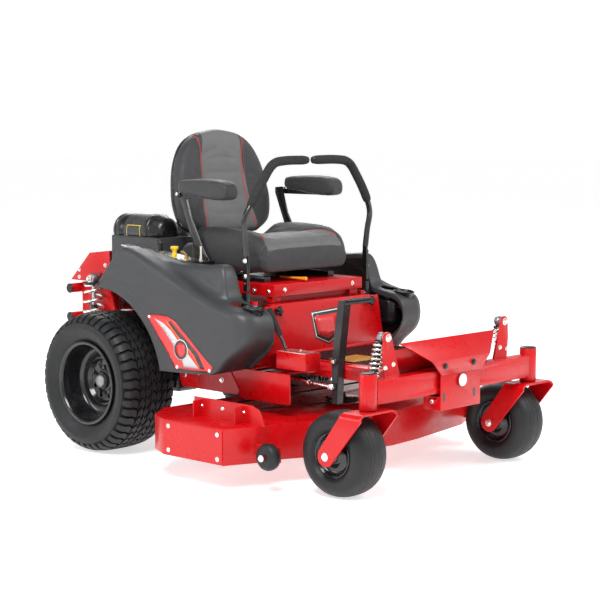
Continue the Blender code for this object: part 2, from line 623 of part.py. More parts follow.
def build_seat_platform(parent):
    pan = block(-0.229, 0.229, -0.656, -0.215, 0.590, 0.6310)
    inside = block(-0.225, 0.225, -0.652, -0.219, 0.58, 0.6270)
    finish(fuse([pan], [inside]), "seat_platform", "red_paint", parent)


def build_seat(parent):
    bracket = [
        (-0.400, 0.648), (-0.139, 0.648), (-0.1205, 0.790), (-0.105, 0.880), (-0.109, 0.880),
        (-0.1245, 0.790),
        (-0.1425, 0.654), (-0.400, 0.654),
    ]
    pieces = [prism(bracket, "x", -0.112, 0.112), block(-0.250, 0.250, -0.400, -0.300, 0.6480, 0.6540)]
    upright = [
        (-0.400, 0.648), (-0.300, 0.648), (-0.275, 0.740), (-0.197, 0.925), (-0.197, 0.945),
        (-0.232, 0.948),
        (-0.262, 0.850), (-0.325, 0.740), (-0.370, 0.680),
    ]
    for side in (RIGHT, LEFT):
        pieces.append(side_block(side, 0.150, 0.180, -0.560, -0.230, 0.6314, 0.6500))
        pieces.append(side_prism(side, upright, 0.2445, 0.2500))
        pin = [(side * x, ARM_PIVOT_Y, ARM_PIVOT_Z) for x in (0.246, 0.260)]
        pieces.append(rod(*pin, 0.008, 10))
    finish(fuse(pieces), "seat_frame", "black_steel", parent)

    profile = [
        (-0.585, 0.660), (-0.150, 0.660), (-0.150, 0.758), (-0.236, 0.766), (-0.240, 0.828),
        (-0.400, 0.832),
        (-0.500, 0.815), (-0.570, 0.782), (-0.602, 0.745), (-0.602, 0.690),
    ]
    cushion = rounded(prism(profile, "x", -0.240, 0.240), 0.016)
    finish(cushion, "seat_cushion", "seat_vinyl", parent)

    half = [
        (0.150, 0.772), (0.215, 0.812), (0.238, 0.880), (0.236, 0.950), (0.215, 1.040), (0.170, 1.117),
        (0.100, 1.162), (0.000, 1.178),
    ]
    outline = half + [(-x, z) for x, z in reversed(half[:-1])]
    back = rounded(tapered(outline, -0.226, -0.140, (0.0, 0.970), 0.80), 0.016, 1, 30.0)
    lean = Matrix.Rotation(math.radians(-8), 4, "X")
    hinge = Vector((0.0, -0.170, 0.775))
    back.data.transform(Matrix.Translation(hinge) @ lean @ Matrix.Translation(-hinge))
    finish(back, "seat_backrest", "seat_vinyl", parent)


def build_armrest(side, parent):
    arm = side_block(side, 0.2620, 0.2680, -0.420, -0.205, 0.9200, 0.9420)
    bearing = rod((side * 0.2615, ARM_PIVOT_Y, ARM_PIVOT_Z), (side * 0.2760, ARM_PIVOT_Y, ARM_PIVOT_Z),
                  0.0120, 10)
    tray = side_block(side, 0.2480, 0.2940, -0.450, -0.252, 0.9380, 0.9420)
    pad = rounded(side_block(side, 0.2380, 0.3080, -0.492, -0.248, 0.9410, 0.9890), 0.012)
    finish(fuse([arm, bearing, tray, pad]), f"armrest_{SIDE_NAMES[side]}", "seat_vinyl", parent)


def build_seat_lever(parent):
    lever = swept([(-0.060, -0.520, 0.6420), (-0.060, -0.600, 0.6420), (-0.066, -0.655, 0.6440)],
                  [0.0045, 0.0045, 0.0070], 8)
    finish(lever, "seat_slide_lever", "orange_plastic", parent)


# ---------------------------------------------------------------- controls
def build_control_lever(side, drive, swing):
    x = side * LEVER_X
    post = block(x - 0.009, x + 0.009, LEVER_Y - 0.011, LEVER_Y + 0.011, 0.548, 0.6070)
    shaft = rod((side * 0.2915, LEVER_Y, LEVER_PIVOT_Z), (side * 0.3240, LEVER_Y, LEVER_PIVOT_Z),
                0.0130, 12)
    finish(fuse([post, shaft]), f"lever_base_{SIDE_NAMES[side]}", "black_steel", drive)

    bar = side_block(side, 0.3030, 0.3170, LEVER_Y - 0.012, LEVER_Y + 0.009, 0.6115, 0.7550)
    bolts = [rod((side * 0.300, LEVER_Y, z), (side * 0.3225, LEVER_Y, z),
                 0.0080, 6) for z in (0.664, 0.717)]
    route = [
        (0.310, -0.600, 0.735), (0.318, -0.602, 0.800), (0.324, -0.608, 0.862), (0.294, -0.616, 0.921),
        (0.243, -0.618, 0.995), (0.195, -0.618, 1.047), (0.130, -0.616, 1.059), (0.010, -0.610, 1.059),
    ]
    path = smooth_path([(side * a, b, c) for a, b, c in route], 2)
    grip_start = 6
    radii = [0.0110 if i < grip_start else 0.0165 for i in range(len(path))]
    finish(fuse([bar, swept(path, radii, 8)] + bolts),
           f"control_lever_{SIDE_NAMES[side]}", "foam_grip", swing)


def build_pedal(parent):
    x, y, z = PEDAL_X, PEDAL_PIVOT_Y, PEDAL_PIVOT_Z
    outline = [
        (-0.972, 0.252), (-0.946, 0.252), (-0.944, 0.396), (-0.958, 0.500), (-0.972, 0.597),
        (-0.972, 0.606),
        (-1.010, 0.606), (-1.006, 0.590), (-0.994, 0.500), (-0.979, 0.396),
    ]
    arm = prism(outline, "x", x - 0.016, x + 0.016)
    foot_bar = block(x, -0.120, -1.008, -0.974, 0.597, 0.606)
    boss = rod((x - 0.024, y, z), (x + 0.022, y, z), 0.0120, 10)
    link = rod((x - 0.030, -0.960, 0.314), (x, -0.960, 0.314), 0.0100, 8)
    finish(fuse([arm, foot_bar, boss, link]), "deck_lift_pedal", "grey_steel", parent)


def build_height_lever(parent):
    x = HEIGHT_LEVER_X
    path = [(x, -0.797, 0.4325), (x, -0.785, 0.450), (x, -0.745, 0.515), (x, -0.742, 0.520),
            (x, -0.716, 0.562)]
    radii = [0.0060, 0.0060, 0.0060, 0.0110, 0.0105]
    finish(swept(path, radii, 8), "deck_height_lever", "foam_grip", parent)


# ---------------------------------------------------------------- cutting deck
DECK_OUTLINE = [
    (-DECK_RIGHT, -0.548), (-DECK_RIGHT, -0.838), (-0.543, -0.880), (-0.440, -0.898), (-0.373, -0.929),
    (-0.150, -0.990), (0.0, -1.005), (0.150, -0.990), (0.480, -0.926), (0.600, -0.868), (DECK_LEFT, -0.790),
    (DECK_LEFT, -0.548), (0.605, -0.455), (0.500, -0.385), (-0.500, -0.385), (-0.605, -0.455),
]


def build_deck(parent):
    shell = prism(DECK_OUTLINE, "z", DECK_BOTTOM, DECK_TOP)
    shrink = 1 - DECK_WALL / DECK_RIGHT
    inner = [(x * shrink, y + (DECK_WALL + 0.001) * (1 if y < -0.70 else -1)) for x, y in DECK_OUTLINE]
    cutters = [prism(inner, "z", DECK_BOTTOM - 0.02, DECK_TOP - 0.004)]
    pieces = [shell]
    for x, y in BLADE_CENTRES.values():
        pieces.append(rod((x, y, DECK_TOP - 0.003), (x, y, 0.2120), 0.042, 12))
        cutters.append(rod((x, y, 0.180), (x, y, 0.250), 0.0180, 12))
    for side in (RIGHT, LEFT):
        baffle = [(-0.560, 0.203), (-0.560, 0.268), (-0.835, 0.268), (-0.868, 0.258), (-0.900, 0.203)]
        pieces.append(side_prism(side, baffle, 0.5160, 0.5200))
        ears = [side_block(side, 0.518, 0.560, y, y + 0.004, 0.203, 0.262) for y in (-0.600, -0.800)]
        arm = side_block(side, 0.5360, 0.5410, ROLLER_Y - 0.020, -0.862, 0.100, 0.150)
        bolt = rod((side * 0.5380, ROLLER_Y, ROLLER_Z), (side * 0.6080, ROLLER_Y, ROLLER_Z), 0.0080, 8)
        pieces += ears + [arm, bolt]
    finish(fuse(pieces, cutters), "deck_shell", "red_paint", parent)

    cover = [(-0.552, 0.0880), (-0.834, 0.0880), (-0.834, 0.2010), (-0.552, 0.2010)]
    finish(side_prism(RIGHT, cover, DECK_RIGHT + GAP, 0.656), "discharge_cover", "red_paint", parent)


def build_blade(name, spin):
    x, y = BLADE_CENTRES[name]
    shaft = [(0.1065, 0.0), (0.1065, 0.0130), (0.2145, 0.0130)]
    pulley = [(0.2145, 0.062), (0.2165, 0.062), (0.2165, 0.056), (0.2255, 0.056), (0.2255, 0.062),
              (0.2275, 0.062)]
    profile = shaft + pulley + [(0.2275, 0.018), (0.2450, 0.012), (0.2450, 0.0)]
    spindle = turned(profile, (x, y, 0.0), "z", 12, closed=False)
    finish(spindle, f"spindle_{name}", "black_steel", spin)
    half = BLADE_LENGTH / 2
    outline = [(x - half, y - 0.028), (x + half, y - 0.022), (x + half, y + 0.028), (x - half, y + 0.022)]
    bar = prism(outline, "z", 0.1000, 0.1061)
    nut = rod((x, y, 0.0910), (x, y, 0.1010), 0.0150, 6)
    sails = []
    for s in (-1, 1):
        middle = x + s * 0.155
        sail = block(middle - 0.055, middle + 0.055, y + s * 0.014, y + s * 0.026, 0.103, 0.118)
        sails.append(rounded(sail, 0.002))
    finish(fuse([bar, nut] + sails), f"blade_{name}", "bright_steel", spin)


def build_belt(parent):
    """The deck's drive belt round the three spindle pulleys."""
    reach = 0.0607
    outer, inner = [], []
    order = [("right", 90, 251.2), ("centre", 251.2, 288.8), ("left", 288.8, 450)]
    for name, start, end in order:
        steps = 8 if name != "centre" else 3
        outer += arc(BLADE_CENTRES[name], reach, start, end, steps)
        inner += arc(BLADE_CENTRES[name], reach - 0.0035, start, end, steps)
    loop = fuse([prism(outer, "z", 0.2175, 0.2245)], [prism(inner, "z", 0.2100, 0.2400)])
    finish(loop, "deck_belt", "tyre_rubber", parent)


def build_roller(side, parent):
    profile = mirrored_profile([(-0.024, 0.0092), (-0.024, 0.030), (-0.014, 0.042), (0.0, ROLLER_RADIUS)])
    roller = turned(profile, (side * ROLLER_X, ROLLER_Y, ROLLER_Z), "x", 16)
    finish(roller, f"anti_scalp_roller_{SIDE_NAMES[side]}", "tyre_rubber", parent)


# ---------------------------------------------------------------- assembly
def build_machine():
    origin = make_empty("machine_origin", (0.0, AXLE_TO_MIDDLE, 0.0))
    build_main_frame(origin)
    build_floor_pan(origin)
    build_foot_plate(origin)
    build_axle_bracket(origin)
    build_engine_guard(origin)
    build_fuel_tank(origin)
    build_engine(origin)
    build_seat_base(origin)

    rear_axle = make_empty("rear_suspension_pivot", (0.0, *SUSPENSION_PIVOT), origin)
    build_rear_axle(rear_axle)
    front_axle = make_empty("front_axle_pivot", (0.0, CASTER_PIVOT_Y, AXLE_PIVOT_Z), origin)
    build_front_axle(front_axle)

    tilt = make_empty("seat_tilt", (0.0, *SEAT_HINGE), origin)
    build_seat_platform(tilt)
    seat_place = Vector((0.0, -0.380, 0.640))
    seat = make_empty("seat_slide", seat_place - tilt.location, tilt)
    build_seat(seat)
    seat_lever = make_empty("seat_lever_pivot", (-0.060, -0.140, 0.002), seat)
    build_seat_lever(seat_lever)

    deck = make_empty("deck_lift", (0.0, -0.640, DECK_TOP), origin)
    build_deck(deck)
    build_belt(deck)
    for name, (x, y) in BLADE_CENTRES.items():
        spin = make_empty(f"blade_spin_{name}", (x, y + 0.640, 0.0), deck)
        build_blade(name, spin)

    build_pedal(make_empty("pedal_pivot", (PEDAL_X, PEDAL_PIVOT_Y, PEDAL_PIVOT_Z), origin))
    build_height_lever(make_empty("height_lever_pivot",
                                  (HEIGHT_LEVER_X, HEIGHT_LEVER_Y, HEIGHT_LEVER_Z), origin))

    for side in (RIGHT, LEFT):
        word = SIDE_NAMES[side]
        build_fender(side, origin)
        build_rear_shock(side, origin)
        wheel_place = Vector((side * REAR_WHEEL_X, 0.0, REAR_AXLE_Z)) - rear_axle.location
        build_rear_wheel(side, make_empty(f"rear_wheel_spin_{word}", wheel_place, rear_axle))
        build_front_shock(side, front_axle)
        swivel = make_empty(f"caster_swivel_{word}", (side * CASTER_X, 0.0, 0.0), front_axle)
        spin_place = (0.0, CASTER_AXLE_Y - CASTER_PIVOT_Y, CASTER_RADIUS - AXLE_PIVOT_Z)
        build_caster(side, swivel, make_empty(f"caster_spin_{word}", spin_place, swivel))
        arm_place = Vector((side * ARM_PIVOT_X, ARM_PIVOT_Y, ARM_PIVOT_Z)) - seat_place
        build_armrest(side, make_empty(f"armrest_pivot_{word}", arm_place, seat))
        drive = make_empty(f"lever_drive_{word}", (side * LEVER_X, LEVER_Y, LEVER_PIVOT_Z), origin)
        swing = make_empty(f"lever_swing_{word}", (0.0, 0.0, LEVER_SWING_Z - LEVER_PIVOT_Z), drive)
        build_control_lever(side, drive, swing)
        roller_place = Vector((side * ROLLER_X, ROLLER_Y, ROLLER_Z)) - deck.location
        build_roller(side, make_empty(f"roller_spin_{word}", roller_place, deck))


clear_scene()
MATERIALS = make_materials()
build_machine()
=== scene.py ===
"""The looks of a ride-on zero-turn mower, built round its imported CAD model.

Units are metres. Shapes are given in the machine's own frame, as in the CAD: y = 0 is the rear axle,
the front is -Y, the machine's own right side is -X and the ground is z = 0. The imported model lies
AXLE_TO_MIDDLE further along +Y, and every piece is moved there when it is made.
"""

import math

import bmesh
import bpy
from mathutils import Matrix, Vector
from mathutils.bvhtree import BVHTree


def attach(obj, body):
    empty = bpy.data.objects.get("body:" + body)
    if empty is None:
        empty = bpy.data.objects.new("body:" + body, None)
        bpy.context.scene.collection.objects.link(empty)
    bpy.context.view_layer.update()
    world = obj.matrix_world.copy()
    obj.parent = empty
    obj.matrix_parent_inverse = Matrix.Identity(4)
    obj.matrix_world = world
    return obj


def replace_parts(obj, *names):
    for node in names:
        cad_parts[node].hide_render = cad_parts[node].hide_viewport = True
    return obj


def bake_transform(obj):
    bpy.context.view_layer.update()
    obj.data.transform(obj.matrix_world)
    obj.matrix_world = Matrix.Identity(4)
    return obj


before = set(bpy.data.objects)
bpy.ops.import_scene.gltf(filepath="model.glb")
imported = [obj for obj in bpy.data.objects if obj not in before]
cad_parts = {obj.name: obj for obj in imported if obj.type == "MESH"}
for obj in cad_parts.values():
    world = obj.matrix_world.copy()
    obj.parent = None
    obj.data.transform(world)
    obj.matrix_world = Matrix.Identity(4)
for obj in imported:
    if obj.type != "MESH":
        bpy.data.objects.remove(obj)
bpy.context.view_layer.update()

AXLE_TO_MIDDLE = 0.4367
TO_ROW = Matrix.Translation((0.0, AXLE_TO_MIDDLE, 0.0))
SIDES = {"right": -1, "left": 1}
X_AXIS, Y_AXIS, Z_AXIS = Vector((1, 0, 0)), Vector((0, 1, 0)), Vector((0, 0, 1))

REAR_WHEEL = (0.428, 0.0, 0.254)
CASTER_WHEEL = (0.424, -1.161, 0.14)
CASTER_PIVOT_Y = -1.261
FAR = 1.0   # stands for "nowhere near"


# ---------------------------------------------------------------- materials
NOISE_RANGE = (0.3, 0.7)


class Surface:
    """A procedural material: a Principled shader fed by patterns in the model's own coordinates."""

    def __init__(self, name, metallic=0.0, **fixed):
        self.material = bpy.data.materials.new(name)
        self.material.use_nodes = True
        self.nodes = self.material.node_tree.nodes
        self.links = self.material.node_tree.links
        self.shader = self.nodes["Principled BSDF"]
        self.shader.inputs["Metallic"].default_value = metallic
        for socket, value in fixed.items():
            self.shader.inputs[socket.replace("_", " ")].default_value = value
        self.place = self.node("ShaderNodeTexCoord").outputs["Object"]

    def node(self, kind, settings=(), **inputs):
        made = self.nodes.new(kind)
        for name, value in dict(settings).items():
            setattr(made, name, value)
        for name, value in inputs.items():
            self.feed(made.inputs[name.replace("_", " ")], value)
        return made

    def feed(self, socket, value):
        if isinstance(value, bpy.types.NodeSocket):
            self.links.new(value, socket)
        else:
            socket.default_value = value

    def noise(self, scale, detail=2.0, stretch=(1, 1, 1)):
        place = self.place
        if stretch != (1, 1, 1):
            place = self.node("ShaderNodeMapping", Vector=place, Scale=stretch).outputs["Vector"]
        return self.node("ShaderNodeTexNoise", Vector=place, Scale=scale, Detail=detail).outputs["Fac"]

    def cells(self, scale, feature="F1"):
        made = self.node("ShaderNodeTexVoronoi", {"feature": feature}, Vector=self.place, Scale=scale)
        return made.outputs["Distance"]

    def axis(self, name):
        return self.node("ShaderNodeSeparateXYZ", Vector=self.place).outputs[name]

    def math(self, operation, first, second=0.0):
        made = self.node("ShaderNodeMath", {"operation": operation})
        self.feed(made.inputs[0], first)
        self.feed(made.inputs[1], second)
        return made.outputs[0]

    def spread(self, value, low, high, to_low=0.0, to_high=1.0):
        """The value's range from low to high, stretched to run from to_low to to_high."""
        made = self.node("ShaderNodeMapRange", Value=value)
        for socket, number in zip(("From Min", "From Max", "To Min", "To Max"), (low, high, to_low, to_high)):
            made.inputs[socket].default_value = number
        return made.outputs["Result"]

    def mix(self, share, first, second):
        made = self.node("ShaderNodeMix", {"data_type": "RGBA"})
        for index, value in ((0, share), (6, first), (7, second)):
            self.feed(made.inputs[index], (*value, 1.0) if isinstance(value, tuple) else value)
        return made.outputs[2]

    def colour(self, value):
        self.feed(self.shader.inputs["Base Color"], value)

    def roughness(self, scale, detail, low, high, stretch=(1, 1, 1), noise_range=NOISE_RANGE):
        """Roughness that drifts between two values, in patches of the noise's scale."""
        drift = self.noise(scale, detail, stretch)
        self.feed(self.shader.inputs["Roughness"], self.spread(drift, *noise_range, low, high))

    def bump(self, height, strength, distance=0.001):
        made = self.node("ShaderNodeBump", Height=height, Strength=strength, Distance=distance)
        self.feed(self.shader.inputs["Normal"], made.outputs["Normal"])


def shade(colour, factor):
    return tuple(min(1.0, channel * factor) for channel in colour)


def mottled(surface, colour, contrast, scale):
    """The colour with soft lighter and darker patches."""
    patches = surface.spread(surface.noise(scale, 4.0), *NOISE_RANGE)
    return surface.mix(patches, shade(colour, 1.0 - contrast), shade(colour, 1.0 + contrast))


def painted(name, colour, roughness, coat=0.0, peel=0.08, metallic=0.0, contrast=0.06, dusty=0.08, shine=0.5):
    """Sprayed or powder-coated metal: orange peel, faint colour drift, and a film of dust in patches."""
    made = Surface(name, metallic, Coat_Weight=coat, Coat_Roughness=0.06, Specular_IOR_Level=shine)
    dust = made.spread(made.noise(9.0, 6.0), 0.55, 0.75, 0.0, dusty)
    made.colour(made.mix(dust, mottled(made, colour, contrast, 5.0), (0.3, 0.27, 0.24)))
    made.roughness(38.0, 5.0, roughness - 0.05, roughness + 0.08)
    made.bump(made.noise(420.0, 1.0), peel, 0.0006)
    return made.material


def moulded(name, colour, roughness, grain=900.0, depth=0.22, contrast=0.07):
    """Moulded plastic with a spark-eroded grain and faint handling marks."""
    made = Surface(name, Specular_IOR_Level=0.45)
    made.colour(mottled(made, colour, contrast, 7.0))
    made.roughness(60.0, 6.0, roughness - 0.05, roughness + 0.1, (1, 0.25, 1), (0.35, 0.7))
    made.bump(made.math("ADD", made.cells(grain), made.noise(grain * 0.5, 2.0)), depth, 0.0004)
    return made.material


def rubber(name, colour, roughness):
    """Tyre rubber: a dull bloom in patches, paler where it has met the ground."""
    made = Surface(name, Specular_IOR_Level=0.35)
    bloom = made.spread(made.noise(14.0, 6.0), 0.45, 0.72, 0.0, 0.35)
    made.colour(made.mix(bloom, mottled(made, colour, 0.12, 30.0), shade(colour, 1.9)))
    made.roughness(80.0, 4.0, roughness - 0.08, roughness + 0.08)
    made.bump(made.noise(600.0, 3.0), 0.25, 0.0005)
    return made.material


def metal(name, colour, roughness, stretch=(1, 1, 1), depth=0.08, scale=260.0, contrast=0.1):
    """Bare or plated metal: grain lines or casting skin, with duller stained patches."""
    made = Surface(name, 1.0)
    stain = made.spread(made.noise(22.0, 6.0), 0.55, 0.78, 0.0, 0.35)
    made.colour(made.mix(stain, mottled(made, colour, contrast, 40.0), shade(colour, 0.62)))
    made.roughness(90.0, 5.0, roughness - 0.08, roughness + 0.12, stretch)
    made.bump(made.noise(scale, 4.0, stretch), depth, 0.0005)
    return made.material


def leather_grain(made, depth=0.35):
    """Vinyl's pebbled grain, with soft creases over it."""
    pebbles = made.cells(620.0, "DISTANCE_TO_EDGE")
    creases = made.noise(45.0, 5.0)
    height = made.math("ADD", made.spread(pebbles, 0.0, 0.25), made.math("MULTIPLY", creases, 0.8))
    made.bump(height, depth, 0.0007)
    made.roughness(30.0, 5.0, 0.42, 0.6)


VINYL_GLOSS = {"Specular_IOR_Level": 0.4, "Sheen_Weight": 0.08, "Sheen_Roughness": 0.5}


def vinyl(name, colour):
    made = Surface(name, **VINYL_GLOSS)
    made.colour(mottled(made, colour, 0.1, 12.0))
    leather_grain(made)
    return made.material


def two_tone_vinyl(name, dark, pale, centre_half, limits):
    """Dark vinyl with a paler centre panel. centre_half gives the panel's half width as (axis, low, high,
    width at low, width at high), and limits holds (axis, low, high) ranges that the panel stays within."""
    made = Surface(name, **VINYL_GLOSS)
    axis, low, high, low_width, high_width = centre_half
    width = made.spread(made.axis(axis), low, high, low_width, high_width)
    inside = made.math("LESS_THAN", made.math("ABSOLUTE", made.axis("X")), width)
    for axis, low, high in limits:
        within = made.math("MULTIPLY", made.math("GREATER_THAN", made.axis(axis), low),
                           made.math("LESS_THAN", made.axis(axis), high))
        inside = made.math("MULTIPLY", inside, within)
    made.colour(made.mix(inside, mottled(made, dark, 0.1, 12.0), mottled(made, pale, 0.07, 12.0)))
    leather_grain(made)
    return made.material


def foam(name, colour):
    made = Surface(name, Specular_IOR_Level=0.25)
    made.colour(mottled(made, colour, 0.15, 60.0))
    made.roughness(200.0, 3.0, 0.78, 0.95)
    made.bump(made.cells(1300.0), 0.5, 0.0006)
    return made.material


def printed(name, colour):
    """A vinyl label: thin, slightly uneven ink under a gloss film."""
    made = Surface(name, Coat_Weight=0.4, Coat_Roughness=0.1)
    made.colour(mottled(made, colour, 0.05, 25.0))
    made.roughness(70.0, 4.0, 0.3, 0.42)
    made.bump(made.noise(300.0, 2.0), 0.05, 0.0003)
    return made.material


def warning_stripes(name):
    """Yellow with slanted black bars."""
    made = Surface(name, Coat_Weight=0.3)
    slant = made.math("ADD", made.axis("X"), made.axis("Y"))
    bars = made.math("GREATER_THAN", made.math("SINE", made.math("MULTIPLY", slant, 330.0)), 0.0)
    made.colour(made.mix(bars, (0.8, 0.5, 0.02), (0.02, 0.02, 0.02)))
    made.roughness(70.0, 4.0, 0.3, 0.45)
    made.bump(made.noise(300.0, 2.0), 0.05, 0.0003)
    return made.material


def pale_floor(name):
    """A matt white sweep, a little self-lit so that it meets the bright backdrop without an edge."""
    made = Surface(name, Specular_IOR_Level=0.2, Emission_Strength=0.6)
    made.colour(mottled(made, (0.86, 0.86, 0.86), 0.01, 1.5))
    made.roughness(12.0, 4.0, 0.55, 0.7)
    made.bump(made.noise(90.0, 3.0), 0.03, 0.0005)
    made.shader.inputs["Emission Color"].default_value = (1.0, 1.0, 1.0, 1.0)
    return made.material


# the seat cushion's pale panel: half widths, and where it flares out and where it ends
PANEL_HALF, PANEL_FRONT_HALF = 0.126, 0.19
PANEL_FLARES_Y, PANEL_FRONT_Y = -0.4, -0.575

CHARCOAL, PALE_GREY = (0.022, 0.022, 0.024), (0.105, 0.104, 0.104)
MATERIALS = {
    "red_paint": painted("red_paint", (0.5, 0.0015, 0.004), 0.3, coat=0.12, contrast=0.04,
                         dusty=0.02, shine=0.32),
    "black_steel": painted("black_steel", (0.006, 0.006, 0.007), 0.22, coat=0.3, peel=0.14),
    "grey_steel": painted("grey_steel", (0.022, 0.023, 0.025), 0.3, peel=0.16, metallic=0.2),
    "grey_plastic": moulded("grey_plastic", (0.033, 0.034, 0.037), 0.44),
    "black_plastic": moulded("black_plastic", (0.007, 0.007, 0.008), 0.26, 700.0, 0.1),
    "tyre_rubber": rubber("tyre_rubber", (0.01, 0.0105, 0.0115), 0.5),
    # the groove floor's darker rubber is painted shade in the tread's recesses; the rubber itself is the same
    # as the tyre's
    "groove_painted_shade": rubber("groove_painted_shade", (0.0035, 0.0035, 0.004), 0.8),
    "bright_steel": metal("bright_steel", (0.84, 0.83, 0.8), 0.24, contrast=0.05),
    "brushed_rod": metal("brushed_rod", (0.6, 0.6, 0.6), 0.3, (1, 30, 1), 0.12),
    "brass": metal("brass", (0.6, 0.42, 0.16), 0.32),
    "grey_casting": metal("grey_casting", (0.32, 0.32, 0.33), 0.48, depth=0.45, scale=320.0),
    "seat_vinyl": vinyl("seat_vinyl", CHARCOAL),
    "foam_grip": foam("foam_grip", (0.022, 0.022, 0.023)),
    "orange_plastic": moulded("orange_plastic", (0.85, 0.3, 0.015), 0.4),
    "yellow_plastic": moulded("yellow_plastic", (0.8, 0.52, 0.02), 0.4),
    "red_plastic": moulded("red_plastic", (0.6, 0.02, 0.02), 0.4),
    "red_piping": vinyl("red_piping", (0.42, 0.012, 0.014)),
    "thread": vinyl("thread", (0.13, 0.13, 0.135)),
    "red_label": printed("red_label", (0.6, 0.016, 0.018)),
    "silver_label": printed("silver_label", (0.5, 0.5, 0.51)),
    # dark film: print on the labels, and painted shade where it covers the bracket's and the scale's slots
    # and the exhaust pipe's bore
    "dark_label": printed("dark_label", (0.022, 0.022, 0.024)),
    "orange_label": printed("orange_label", (0.8, 0.16, 0.02)),
    "white_label": printed("white_label", (0.72, 0.72, 0.7)),
    "yellow_label": printed("yellow_label", (0.78, 0.55, 0.03)),
    "stripe_label": warning_stripes("stripe_label"),
    "seat_cover": two_tone_vinyl("seat_cover", CHARCOAL, PALE_GREY,
                                 ("Y", PANEL_FRONT_Y + AXLE_TO_MIDDLE, PANEL_FLARES_Y + AXLE_TO_MIDDLE,
                                  PANEL_FRONT_HALF, PANEL_HALF),
                                 [("Y", -0.588 + AXLE_TO_MIDDLE, 0.25), ("Z", 0.742, 0.9)]),
    "back_cover": two_tone_vinyl("back_cover", CHARCOAL, PALE_GREY, ("Z", 0.78, 1.16, 0.135, 0.092),
                                 [("Y", -0.4 + AXLE_TO_MIDDLE, -0.1 + AXLE_TO_MIDDLE)]),
    "rubber_valve": rubber("rubber_valve", (0.02, 0.02, 0.021), 0.5),
    "studio_floor": pale_floor("studio_floor"),
}


# ---------------------------------------------------------------- shapes
def round_angles(count, shift=0.0):
    """Angles evenly round a circle, the first one shift steps on."""
    return [2 * math.pi * (k + shift) / count for k in range(count)]


